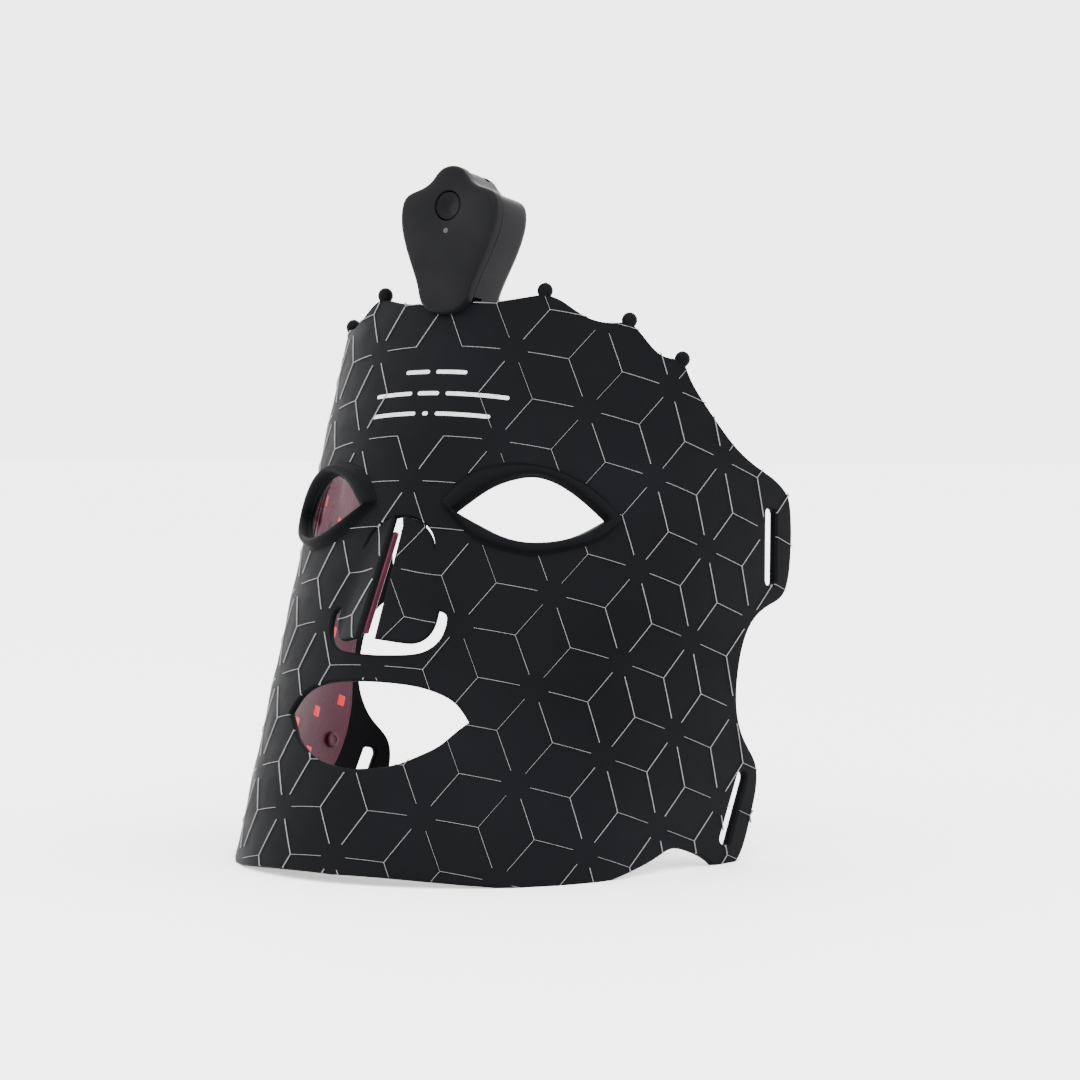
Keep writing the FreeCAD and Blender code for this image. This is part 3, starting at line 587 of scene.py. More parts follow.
def wing_blend(piece, side):
    """Bakes the piece's place into its mesh; the way across the wing's seam on that side is worked out but
    not used, so the piece does not bend with the wing.
    """
    sizes = bpy.context.scene.mask_sheet
    seam = sizes.front_radius * SEAM_TURN
    sign = 1 if side == "right" else -1
    ends = on_sheet([(sign * (seam - 0.3), DATUM_V, 0.0), (sign * (seam + 0.3), DATUM_V, 0.0)])
    way = Vector(ends[1] - ends[0]).normalized()
    way *= sizes.bend_reach * MM
    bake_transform(piece)


def flap_blend(piece):
    """Bakes the piece's place into its mesh; nothing makes it bend with the nose flap."""
    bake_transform(piece)


# ---------------------------------------------------------------- finishes

def new_material(name):
    """Empty node material: material, tree, main shader and object coordinates."""
    material = bpy.data.materials.new(name)
    material.use_nodes = True
    tree = material.node_tree
    return material, tree, tree.nodes["Principled BSDF"], node(tree, "ShaderNodeTexCoord").outputs["Object"]


def node(tree, kind, sockets=None, **settings):
    """Adds a node, sets its options and links or fills its inputs."""
    made = tree.nodes.new(kind)
    for key, value in settings.items():
        setattr(made, key, value)
    for key, value in (sockets or {}).items():
        socket = made.inputs[key]
        if isinstance(value, bpy.types.NodeSocket):
            tree.links.new(value, socket)
        else:
            socket.default_value = value
    return made


def noise(tree, vector, scale, detail=3.0, roughness=0.5):
    """Noise value on a coordinate."""
    sockets = {"Vector": vector, "Scale": scale, "Detail": detail, "Roughness": roughness}
    return node(tree, "ShaderNodeTexNoise", sockets).outputs["Fac"]


def spread_to(tree, value, low, high, out_low, out_high):
    """Value mapped from one range to another."""
    sockets = {"Value": value, "From Min": low, "From Max": high, "To Min": out_low, "To Max": out_high}
    return node(tree, "ShaderNodeMapRange", sockets).outputs["Result"]


def two_colours(tree, factor, first, second):
    """Colour mixed by a factor."""
    mix = node(tree, "ShaderNodeMix", {"Factor": factor}, data_type="RGBA")
    mix.inputs["A"].default_value = (*first, 1.0)
    mix.inputs["B"].default_value = (*second, 1.0)
    return mix.outputs["Result"]


def paint(tree, shader, factor, first, second):
    """Base colour of the main shader, mixed by a factor."""
    tree.links.new(two_colours(tree, factor, first, second), shader.inputs["Base Color"])


def polish(tree, shader, factor, low, high, smooth, rough):
    """Roughness of the main shader from a noise value."""
    tree.links.new(spread_to(tree, factor, low, high, smooth, rough), shader.inputs["Roughness"])


def bump(tree, shader, height, distance, strength):
    """Bump on the main shader."""
    made = node(tree, "ShaderNodeBump", {"Height": height, "Distance": distance, "Strength": strength})
    tree.links.new(made.outputs["Normal"], shader.inputs["Normal"])
    return made


def shade(colour, factor):
    """Colour made lighter or darker."""
    return tuple(min(1.0, c * factor) for c in colour)


def silicone_finish(name, factor=1.0, rough=0.5):
    """Soft black silicone: fine matt tooth, faint clouding and handling marks."""
    colour = bpy.context.scene.mask_finish.silicone
    material, tree, shader, where = new_material(name)
    cloud = noise(tree, where, 22.0, 4.0)
    tint = spread_to(tree, cloud, 0.35, 0.7, 0.0, 1.0)
    paint(tree, shader, tint, shade(colour, 0.86 * factor), shade(colour, 1.3 * factor))
    marks = noise(tree, where, 90.0, 5.0, 0.6)
    polish(tree, shader, marks, 0.3, 0.75, rough - 0.06, rough + 0.1)
    tooth = noise(tree, where, 2600.0, 2.0, 0.7)
    bump(tree, shader, tooth, 0.00006, 0.55)
    shader.inputs["Specular IOR Level"].default_value = 0.018
    return material


def ink_finish(name, factor):
    """Printed grey ink with slightly uneven cover."""
    colour = shade(bpy.context.scene.mask_finish.ink, factor)
    material, tree, shader, where = new_material(name)
    cover = spread_to(tree, noise(tree, where, 900.0, 3.0), 0.35, 0.65, 0.0, 1.0)
    paint(tree, shader, cover, shade(colour, 0.78), colour)
    shader.inputs["Roughness"].default_value = 0.5
    return material


def cushion_finish():
    """Clear rose silicone that scatters the light from behind."""
    colour = bpy.context.scene.mask_finish.cushion
    material, tree, shader, where = new_material("clear_cushion")
    cloud = spread_to(tree, noise(tree, where, 34.0, 4.0), 0.3, 0.7, 0.0, 1.0)
    paint(tree, shader, cloud, shade(colour, 0.72), shade(colour, 1.05))
    polish(tree, shader, noise(tree, where, 160.0), 0.3, 0.7, 0.22, 0.38)
    shader.inputs["Transmission Weight"].default_value = 0.12
    shader.inputs["IOR"].default_value = 1.41
    shader.inputs["Specular IOR Level"].default_value = 0.08
    bump(tree, shader, noise(tree, where, 700.0, 2.0), 0.00005, 0.4)
    return material


def flex_finish():
    """Dark circuit film with fine copper tracks."""
    material, tree, shader, _ = new_material("circuit_film")
    flat = node(tree, "ShaderNodeAttribute", attribute_name="flat").outputs["Vector"]
    parts = node(tree, "ShaderNodeSeparateXYZ", {"Vector": flat})
    wave = node(tree, "ShaderNodeMath", {0: parts.outputs["Y"], 1: 0.0025}, operation="PINGPONG").outputs[0]
    line = node(tree, "ShaderNodeMath", {0: wave, 1: 0.00035}, operation="LESS_THAN").outputs[0]
    paint(tree, shader, line, (0.030, 0.010, 0.015), (0.16, 0.06, 0.04))
    shader.inputs["Roughness"].default_value = 0.42
    return material


def glow_finish():
    """LED lens that glows red."""
    colour = bpy.context.scene.mask_finish.glow
    material, tree, shader, where = new_material("led_lens")
    fleck = spread_to(tree, noise(tree, where, 1500.0), 0.3, 0.7, 0.12, 0.16)
    hue = node(tree, "ShaderNodeHueSaturation", {"Value": fleck, "Color": (*colour, 1.0)}).outputs["Color"]
    tree.links.new(hue, shader.inputs["Base Color"])
    shader.inputs["Emission Color"].default_value = (*colour, 1.0)
    shader.inputs["Emission Strength"].default_value = 0.9
    shader.inputs["Specular IOR Level"].default_value = 0.1
    shader.inputs["Roughness"].default_value = 0.2
    return material


def ceramic_finish():
    """White ceramic of an LED package, with the red of its own light painted into its colour."""
    material, tree, shader, where = new_material("led_ceramic_painted_glow")
    grain = spread_to(tree, noise(tree, where, 2000.0), 0.3, 0.7, 0.0, 1.0)
    # Painted glow: reddish base colour in place of the LED's red light on the white ceramic.
    paint(tree, shader, grain, (0.50, 0.16, 0.15), (0.62, 0.22, 0.20))
    shader.inputs["Roughness"].default_value = 0.5
    return material


def plastic_finish(name, factor=1.0, rough=0.34, tooth=0.5):
    """Moulded satin black plastic with a fine spark texture and soft handling marks."""
    colour = bpy.context.scene.mask_finish.plastic
    material, tree, shader, where = new_material(name)
    cloud = spread_to(tree, noise(tree, where, 60.0, 4.0), 0.3, 0.7, 0.0, 1.0)
    paint(tree, shader, cloud, shade(colour, 0.85 * factor), shade(colour, 1.2 * factor))
    rub = noise(tree, where, 130.0, 5.0, 0.65)
    polish(tree, shader, rub, 0.3, 0.75, rough - 0.05, rough + 0.09)
    shader.inputs["Specular IOR Level"].default_value = 0.022
    bump(tree, shader, noise(tree, where, 3200.0, 2.0, 0.6), 0.00004, tooth)
    return material


def metal_finish(name, colour, rough):
    """Bare metal with fine drawn lines."""
    material, tree, shader, where = new_material(name)
    drawn = node(tree, "ShaderNodeMapping", {"Vector": where, "Scale": (1.0, 1.0, 12.0)}).outputs["Vector"]
    lines = noise(tree, drawn, 420.0, 4.0)
    paint(tree, shader, lines, shade(colour, 0.8), colour)
    polish(tree, shader, lines, 0.3, 0.7, rough - 0.08, rough + 0.1)
    shader.inputs["Metallic"].default_value = 1.0
    return material


def board_finish():
    """Green circuit board with copper tracks under its varnish."""
    material, tree, shader, where = new_material("board")
    cells = node(tree, "ShaderNodeTexBrick", {"Vector": where, "Scale": 340.0, "Mortar Size": 0.04})
    paint(tree, shader, cells.outputs["Fac"], (0.015, 0.12, 0.04), (0.05, 0.22, 0.08))
    shader.inputs["Roughness"].default_value = 0.35
    return material


def foil_finish():
    """Creased silver pouch foil."""
    material, tree, shader, where = new_material("cell_foil")
    crease = noise(tree, where, 240.0, 4.0, 0.7)
    paint(tree, shader, crease, (0.5, 0.5, 0.52), (0.75, 0.75, 0.78))
    shader.inputs["Metallic"].default_value = 0.9
    shader.inputs["Roughness"].default_value = 0.38
    bump(tree, shader, crease, 0.0003, 0.6)
    return material


def foam_finish():
    """Open black foam."""
    material, tree, shader, where = new_material("foam")
    cells = node(tree, "ShaderNodeTexVoronoi", {"Vector": where, "Scale": 1400.0}).outputs["Distance"]
    paint(tree, shader, cells, (0.02, 0.02, 0.02), (0.09, 0.09, 0.09))
    shader.inputs["Roughness"].default_value = 0.9
    bump(tree, shader, cells, 0.0003, 0.8)
    return material


def light_pipe_finish():
    """Smoked moulded rod."""
    material, tree, shader, where = new_material("light_pipe")
    haze = noise(tree, where, 800.0)
    paint(tree, shader, haze, (0.020, 0.021, 0.024), (0.036, 0.037, 0.041))
    shader.inputs["Specular IOR Level"].default_value = 0.1
    shader.inputs["Roughness"].default_value = 0.15
    return material


_made = {}


def finish_of(name):
    """The named finish, made once."""
    makers = {
        "silicone": lambda: silicone_finish("black_silicone"),
        "rim": lambda: silicone_finish("rim_silicone", 0.82, 0.56),
        "ink": lambda: ink_finish("printed_ink", 1.0),
        "title": lambda: ink_finish("title_ink", 2.4),
        "cushion": cushion_finish,
        "flex": flex_finish,
        "glow": glow_finish,
        "ceramic": ceramic_finish,
        "cover": lambda: plastic_finish("satin_cover", 1.0, 0.33),
        "housing": lambda: plastic_finish("satin_housing", 1.0, 0.3),
        "button": lambda: plastic_finish("button_plastic", 0.8, 0.2, 0.15),
        "dark": lambda: plastic_finish("dark_plastic", 1.6, 0.5),
        "port": lambda: metal_finish("port_metal", (0.55, 0.55, 0.57), 0.3),
        "screw": lambda: metal_finish("screw_steel", (0.16, 0.16, 0.17), 0.38),
        "board": board_finish,
        "foil": foil_finish,
        "foam": foam_finish,
        "pipe": light_pipe_finish,
    }
    if name not in _made:
        _made[name] = makers[name]()
    return _made[name]


# ---------------------------------------------------------------- node trees

def geometry_tree(name, inputs):
    """Empty geometry tree with named inputs; gives tree, input node and output node."""
    tree = bpy.data.node_groups.new(name, "GeometryNodeTree")
    tree.interface.new_socket("Geometry", in_out="OUTPUT", socket_type="NodeSocketGeometry")
    tree.interface.new_socket("Geometry", in_out="INPUT", socket_type="NodeSocketGeometry")
    for label, kind, default in inputs:
        socket = tree.interface.new_socket(label, in_out="INPUT", socket_type="NodeSocket" + kind)
        if default is not None:
            socket.default_value = default
    return tree, tree.nodes.new("NodeGroupInput"), tree.nodes.new("NodeGroupOutput")


def run_tree(name, tree, values, start_mesh=None):
    """Runs a geometry tree on a fresh object and gives the plain mesh."""
    holder = linked(name, start_mesh or bpy.data.meshes.new(name))
    modifier = holder.modifiers.new(name, "NODES")
    modifier.node_group = tree
    for item in tree.interface.items_tree:
        if item.item_type == "SOCKET" and item.in_out == "INPUT" and item.name in values:
            modifier[item.identifier] = values[item.name]
    graph = bpy.context.evaluated_depsgraph_get()
    graph.update()
    mesh = bpy.data.meshes.new_from_object(holder.evaluated_get(graph), depsgraph=graph)
    bpy.data.objects.remove(holder)
    mesh.name = name
    return mesh


def copies_tree():
    """Places a body and an optional second part at every point, turned by the point's own 'turn'."""
    tree, start, end = geometry_tree("place copies", [
        ("Body", "Object", None), ("Body material", "Material", None),
        ("Second", "Object", None), ("Second material", "Material", None)])
    turn = node(tree, "GeometryNodeInputNamedAttribute", {"Name": "turn"}, data_type="FLOAT_VECTOR")
    to_turn = node(tree, "FunctionNodeEulerToRotation", {"Euler": turn.outputs["Attribute"]})
    whole = node(tree, "GeometryNodeJoinGeometry")
    for label in ("Body", "Second"):
        source = node(tree, "GeometryNodeObjectInfo", {"Object": start.outputs[label]})
        place = node(tree, "GeometryNodeInstanceOnPoints", {
            "Points": start.outputs["Geometry"], "Instance": source.outputs["Geometry"],
            "Rotation": to_turn.outputs["Rotation"]})
        real = node(tree, "GeometryNodeRealizeInstances", {"Geometry": place.outputs["Instances"]})
        coloured = node(tree, "GeometryNodeSetMaterial", {
            "Geometry": real.outputs["Geometry"], "Material": start.outputs[label + " material"]})
        tree.links.new(coloured.outputs["Geometry"], whole.inputs["Geometry"])
    tree.links.new(whole.outputs["Geometry"], end.inputs["Geometry"])
    return tree


def pattern_tree():
    """Three-armed stars on a staggered lattice, cut to the sheet and freed around the title place."""
    tree, start, end = geometry_tree("printed stars", [
        ("Spacing", "Float", 30.0), ("Arm share", "Float", 0.74), ("Line width", "Float", 0.5),
        ("Ink height", "Float", 0.05), ("Piece length", "Float", 0.8),
        ("Columns", "Int", 7), ("Rows", "Int", 10),
        ("Sheet", "Object", None), ("Material", "Material", None)])
    given = start.outputs

    def maths(operation, a, b):
        return node(tree, "ShaderNodeMath", {0: a, 1: b}, operation=operation).outputs[0]

    def vector(x=0.0, y=0.0, z=0.0):
        return node(tree, "ShaderNodeCombineXYZ", {"X": x, "Y": y, "Z": z}).outputs["Vector"]

    column = maths("MULTIPLY", given["Spacing"], math.sqrt(3) / 2)
    arm = maths("MULTIPLY", maths("DIVIDE", given["Spacing"], math.sqrt(3)), given["Arm share"])
    line = node(tree, "GeometryNodeCurvePrimitiveLine", {"End": vector(arm)})
    hub = node(tree, "GeometryNodePoints", {"Count": 3})
    index = node(tree, "GeometryNodeInputIndex").outputs["Index"]
    spin = vector(0.0, 0.0, maths("MULTIPLY", index, math.tau / 3))
    spin = node(tree, "FunctionNodeEulerToRotation", {"Euler": spin}).outputs["Rotation"]
    star = node(tree, "GeometryNodeInstanceOnPoints", {
        "Points": hub.outputs["Points"], "Instance": line.outputs["Curve"], "Rotation": spin})
    star = node(tree, "GeometryNodeRealizeInstances", {"Geometry": star.outputs["Instances"]})
    half = maths("MULTIPLY", given["Spacing"], 0.5)
    cell = node(tree, "GeometryNodeJoinGeometry")
    for thirds, low, turned in ((1, True, False), (2, False, True), (4, False, False), (5, True, True)):
        at = vector(maths("MULTIPLY", column, thirds / 3), half if low else 0.0)
        moved = node(tree, "GeometryNodeTransform", {
            "Geometry": star.outputs["Geometry"], "Translation": at,
            "Rotation": (0.0, 0.0, math.pi if turned else 0.0)})
        tree.links.new(moved.outputs["Geometry"], cell.inputs["Geometry"])
    wide = maths("MULTIPLY", maths("MULTIPLY", column, 2.0), maths("SUBTRACT", given["Columns"], 1))
    tall = maths("MULTIPLY", given["Spacing"], maths("SUBTRACT", given["Rows"], 1))
    lattice = node(tree, "GeometryNodeMeshGrid", {
        "Size X": wide, "Size Y": tall, "Vertices X": given["Columns"], "Vertices Y": given["Rows"]})
    middle = vector(0.0, maths("MULTIPLY", given["Spacing"], LATTICE_DROP))
    sited = node(tree, "GeometryNodeTransform", {"Geometry": lattice.outputs["Mesh"], "Translation": middle})
    spread = node(tree, "GeometryNodeInstanceOnPoints", {
        "Points": sited.outputs["Geometry"], "Instance": cell.outputs["Geometry"]})
    lines = node(tree, "GeometryNodeRealizeInstances", {"Geometry": spread.outputs["Instances"]})
    fine = node(tree, "GeometryNodeResampleCurve", {
        "Curve": lines.outputs["Geometry"], "Length": given["Piece length"]}, mode="LENGTH")
    strip = node(tree, "GeometryNodeCurvePrimitiveQuadrilateral", {
        "Width": given["Ink height"], "Height": given["Line width"]})
    inked = node(tree, "GeometryNodeCurveToMesh", {
        "Curve": fine.outputs["Curve"], "Profile Curve": strip.outputs["Curve"], "Fill Caps": True})
    place = node(tree, "GeometryNodeInputPosition").outputs["Position"]
    sheet = node(tree, "GeometryNodeObjectInfo", {"Object": given["Sheet"]})
    above = node(tree, "ShaderNodeVectorMath", {0: place, 1: (0.0, 0.0, 5.0)}, operation="ADD")
    ray = node(tree, "GeometryNodeRaycast", {
        "Target Geometry": sheet.outputs["Geometry"], "Source Position": above.outputs["Vector"],
        "Ray Direction": (0.0, 0.0, -1.0), "Ray Length": 20.0})
    off_sheet = node(tree, "FunctionNodeBooleanMath", {0: ray.outputs["Is Hit"]}, operation="NOT").outputs[0]
    title = vector(0.0, given["Spacing"])
    far = node(tree, "ShaderNodeVectorMath", {0: place, 1: title}, operation="DISTANCE").outputs["Value"]
    near = maths("LESS_THAN", far, maths("MULTIPLY", given["Spacing"], TITLE_SHARE))
    drop = node(tree, "FunctionNodeBooleanMath", {0: off_sheet, 1: near}, operation="OR").outputs[0]
    kept = node(tree, "GeometryNodeDeleteGeometry", {
        "Geometry": inked.outputs["Mesh"], "Selection": drop}, domain="FACE")
    coloured = node(tree, "GeometryNodeSetMaterial", {
        "Geometry": kept.outputs["Geometry"], "Material": given["Material"]})
    tree.links.new(coloured.outputs["Geometry"], end.inputs["Geometry"])
    return tree


# ---------------------------------------------------------------- solid makers

def add_piece(name, points, faces, material):
    """Plain mesh object from row-frame points."""
    mesh = bpy.data.meshes.new(name)
    mesh.from_pydata([tuple(p) for p in points], [], faces)
    mesh.validate()
    mesh.materials.append(material)
    smoothed(mesh)
    return linked(name, mesh)


def lathe(profile, segments=24):
    """Solid turned about Z from (radius, height) pairs, first and last on the axis."""
    points, faces = [(0.0, 0.0, profile[0][1])], []
    for radius, height in profile[1:-1]:
        for k in range(segments):
            a = math.tau * k / segments
            points.append((radius * math.cos(a), radius * math.sin(a), height))
    last = len(points)
    points.append((0.0, 0.0, profile[-1][1]))
    rows = len(profile) - 2
    for k in range(segments):
        n = (k + 1) % segments
        faces.append((0, 1 + n, 1 + k))
        for r in range(rows - 1):
            a, b = 1 + r * segments, 1 + (r + 1) * segments
            faces.append((a + k, a + n, b + n, b + k))
        a = 1 + (rows - 1) * segments
        faces.append((a + k, a + n, last))
    return points, faces


def box_outline(inset):
    """Closed outline of the control box face, moved inward, evenly spaced, in millimetres."""
    whole = COVER_HALF + [(-x, z) for x, z in reversed(COVER_HALF[1:-1])]
    looped = whole[-3:] + whole + whole[:4]
    fine = smooth_line(looped, 0.25)
    start = np.argmin(np.hypot(*(fine[:len(fine) // 3] - whole[0]).T))
    back = len(fine) // 2 + np.argmin(np.hypot(*(fine[len(fine) // 2:] - whole[0]).T))
    ring = fine[start:back]
    run = np.concatenate([[0.0], np.cumsum(np.hypot(*np.diff(np.vstack([ring, ring[:1]]), axis=0).T))])
    ring = np.vstack([ring, ring[:1]])
    s = np.linspace(0.0, run[-1], BOX_COUNT + 1)[:-1]
    even = np.stack([np.interp(s, run, ring[:, k]) for k in (0, 1)], 1)
    into = inward(even, ["round"] * BOX_COUNT, False)
    return even + into * inset


def box_place(points):
    """Row-frame places, in metres, of control box points (x, depth, z) in millimetres."""
    p = np.asarray(points, float)
    c, s = math.cos(BOX_LEAN), math.sin(BOX_LEAN)
    x, y, z = p.T
    stood = np.stack([x, y * c - z * s + BOX_AT[0], y * s + z * c + BOX_AT[1]], 1) * MM
    return stood + SHEET_AT


def box_rings(rows):
    """Points of the control box body, one outline per (inset, depth) row, and the faces between them."""
    points, faces = [], []
    for inset, depth in rows:
        points += [(x, depth, z) for x, z in box_outline(inset)]
        if len(points) > BOX_COUNT:
            faces += band(len(points) - 2 * BOX_COUNT, len(points) - BOX_COUNT, BOX_COUNT)
    return points, faces


def circle(radius, x, z, count):
    """Evenly spaced circle in the box front plane."""
    turns = [math.tau * k / count for k in range(count)]
    return [(x + radius * math.cos(a), z + radius * math.sin(a)) for a in turns]


def box_well(points, faces, x, z, rows, count):
    """Adds a round well of (radius, depth) rows with a floor; gives the indices of its mouth."""
    start = len(points)
    for radius, depth in rows:
        points += [(px, depth, pz) for px, pz in circle(radius, x, z, count)]
        if len(points) > start + count:
            faces += band(len(points) - 2 * count, len(points) - count, count)
    faces.append(tuple(range(len(points) - count, len(points))))
    return list(range(start, start + count))


def face_between(points, faces, outer, holes):
    """Flat face inside an outline with holes, all given as point indices."""
    loops = [outer] + holes
    order = [i for loop in loops for i in loop]
    shapes = [np.array([(points[i][0], points[i][2]) for i in loop]) for loop in loops]
    faces += [tuple(order[i] for i in tri) for tri in filled(shapes)[1]]


def cut_with(piece, cutter):
    """Cuts one closed mesh from another."""
    modifier = piece.modifiers.new("cut", "BOOLEAN")
    modifier.operation = "DIFFERENCE"
    modifier.solver = "EXACT"
    modifier.object = cutter
    graph = bpy.context.evaluated_depsgraph_get()
    graph.update()
    mesh = bpy.data.meshes.new_from_object(piece.evaluated_get(graph), depsgraph=graph)
    piece.modifiers.remove(modifier)
    piece.data = mesh
    bpy.data.objects.remove(cutter)


# ---------------------------------------------------------------- operators

class MASK_OT_skin(bpy.types.Operator):
    """Makes the soft outer skin, each half in one sheet from the middle to the wing tabs"""
    bl_idname = "mask.skin"
    bl_label = "Outer skin"

    def execute(self, context):
        sizes = context.scene.mask_sheet
        step = sizes.edge_step
        outer = OUTLINE + [([SIDE_EDGE[-1], MOUTH_LOWER[0]], "cut")]
        outer += MOUTH + [([MOUTH_UPPER[-1], NOSE_FOOT[0]], "cut")]
        outer += NOSE + [([NOSE_ARCH[-1], BROW_EDGE[0]], "cut")]
        loops = [closed_loop(outer, step), closed_loop(EYE, step)]
        for slot in (UPPER_SLOT, LOWER_SLOT):
            ring = np.array(rounded_corners(slot, SLOT_CORNER))
            loops.append((ring, ["round"] * len(ring)))
        points, aims, faces = flat_sheet(loops, rounded_profile(0.0, -SKIN, sizes.edge_round), sizes.grid)
        points[:, 2] *= 1.0 + TAB_SWELL * np.clip((np.abs(points[:, 0]) - TAB_START) / TAB_RUN, 0.0, 1.0)
        for side in ("right", "left"):
            piece = stood_mesh("skin_" + side, points, aims, faces, finish_of("silicone"), side == "left")
            wing_blend(piece, side)
            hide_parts("face_shell", "wing_shell_" + side)
        return {"FINISHED"}


class MASK_OT_nose_flaps(bpy.types.Operator):
    """Makes the two nose flaps with their cushions, each bending along its side"""
    bl_idname = "mask.nose_flaps"
    bl_label = "Nose flaps"

    def execute(self, context):
        sizes = context.scene.mask_sheet
        step, grid = sizes.edge_step, sizes.grid
        skin = flat_sheet([closed_loop(FLAP, step)], rounded_profile(0.0, -SKIN, sizes.edge_round), grid)
        pad = [(FLAP_CUSHION, "round"), ([FLAP_CUSHION[-1], FLAP_CUSHION[0]], "round")]
        pad_edge = rounded_profile(-SKIN, CUSHION_BACK, FLAP_CUSHION_ROUND)
        pad = flat_sheet([closed_loop(pad, step)], pad_edge, grid)
        for side in ("right", "left"):
            other = side == "left"
            flap = stood_mesh("flap_skin_" + side, *skin, finish_of("silicone"), other, flap_bend)
            flap_blend(flap)
            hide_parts("nose_flap_" + side)
            cushion = stood_mesh("flap_cushion_" + side, *pad, finish_of("cushion"), other, flap_bend)
            flap_blend(cushion)
            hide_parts("nose_flap_liner_" + side)
        return {"FINISHED"}


class MASK_OT_pattern(bpy.types.Operator):
    """Prints the line pattern and the three plain title bars on the skin"""
    bl_idname = "mask.pattern"
    bl_label = "Printed pattern"

    def execute(self, context):
        sizes = context.scene.mask_pattern
        right = closed_loop(OUTLINE, PRINT_STEP)[0]
        whole = np.concatenate([right, np.array([SIDE_EDGE[-1]]), (right * (-1, 1))[::-1][:-1]])
        eye = closed_loop([(RIM_UPPER, "round"), (RIM_LOWER, "round")], PRINT_STEP)[0]
        mouth = closed_loop(MOUTH, PRINT_STEP)[0]
        mouth = np.concatenate([mouth, (mouth * (-1, 1))[::-1][1:-1]])
        slots = [np.array(rounded_corners(slot, SLOT_CORNER)) for slot in (UPPER_SLOT, LOWER_SLOT)]
        holes = [eye, eye * (-1, 1), mouth] + slots + [slot * (-1, 1) for slot in slots]
        cutter = self.plate(whole, holes)
        tree = pattern_tree()
        mesh = run_tree("printed_lines", tree, {
            "Spacing": sizes.spacing, "Arm share": sizes.arm_share, "Line width": sizes.line_width,
            "Ink height": sizes.ink_height, "Piece length": sizes.piece_length, "Columns": 7, "Rows": 10,
            "Sheet": cutter, "Material": finish_of("ink")})
        bpy.data.objects.remove(cutter)
        spots = np.array([v.co for v in mesh.vertices])
        faces = [tuple(face.vertices) for face in mesh.polygons]
        middles = np.array([spots[list(face)].mean(0) for face in faces])
        flap = closed_loop(FLAP, PRINT_STEP)[0]
        opening = closed_loop(NOSE + [([NOSE_ARCH[-1], NOSE_FOOT[0]], "cut")], PRINT_STEP)[0]
        folded = np.stack([np.abs(middles[:, 0]), middles[:, 1]], 1)
        on_flap = inside(folded, [flap])
        off_nose = ~inside(folded, [opening])
        for side, sign in (("right", 1), ("left", -1)):
            here = middles[:, 0] * sign > 0
            piece = self.printed("printed_lines_" + side, spots, faces, here & off_nose)
            wing_blend(piece, side)
            piece = self.printed("printed_lines_flap_" + side, spots, faces, here & on_flap, flap_bend)
            flap_blend(piece)
        self.title_bars()
        return {"FINISHED"}

    def plate(self, outer, holes):
        """Flat cutter with the sheet's outline."""
        spots, tris, _ = filled([outer] + holes)
        mesh = bpy.data.meshes.new("pattern_cutter")
        mesh.from_pydata([(s[0], s[1], 0.0) for s in spots], [], tris)
        return linked("pattern_cutter", mesh)

    def printed(self, name, spots, faces, keep, shape=None):
        """Bent mesh of the chosen printed faces."""
        chosen = [face for face, good in zip(faces, keep) if good]
        used = sorted({i for face in chosen for i in face})
        number_of = {old: new for new, old in enumerate(used)}
        points = spots[used]
        aims = np.tile([0.0, 0.0, 1.0], (len(points), 1))
        faces = [tuple(number_of[i] for i in face[::-1]) for face in chosen]
        return stood_mesh(name, points, aims, faces, finish_of("ink"), False, shape, False)

    def title_bars(self):
        """Rows of plain rounded bars in place of a title."""
        half = TITLE_BAR / 2
        points, aims, faces = [], [], []
        for v, left, right in TITLE_BARS:
            loop = []
            for centre, start in ((right - half, -math.pi / 2), (left + half, math.pi / 2)):
                for k in range(9):
                    a = start + math.pi * k / 8
                    loop.append((centre + half * math.cos(a), v + half * math.sin(a)))
                straight = [left + half, right - half] if start > 0 else [right - half, left + half]
                side = -half if start > 0 else half
                count = max(3, int((right - left) / 1.2))
                loop += [(u, v + side) for u in np.linspace(*straight, count)[1:-1]]
            loop = np.array(loop)
            profile = rounded_profile(0.06, -0.02, 0.02, 1)
            more, ways, skins = flat_sheet([(loop, ["round"] * len(loop))], profile, 1.0)
            base = len(points)
            points += more.tolist()
            aims += ways.tolist()
            faces += [tuple(i + base for i in face) for face in skins]
        piece = stood_mesh("title_bars", points, aims, faces, finish_of("title"))
        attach(piece, "centre_panel")


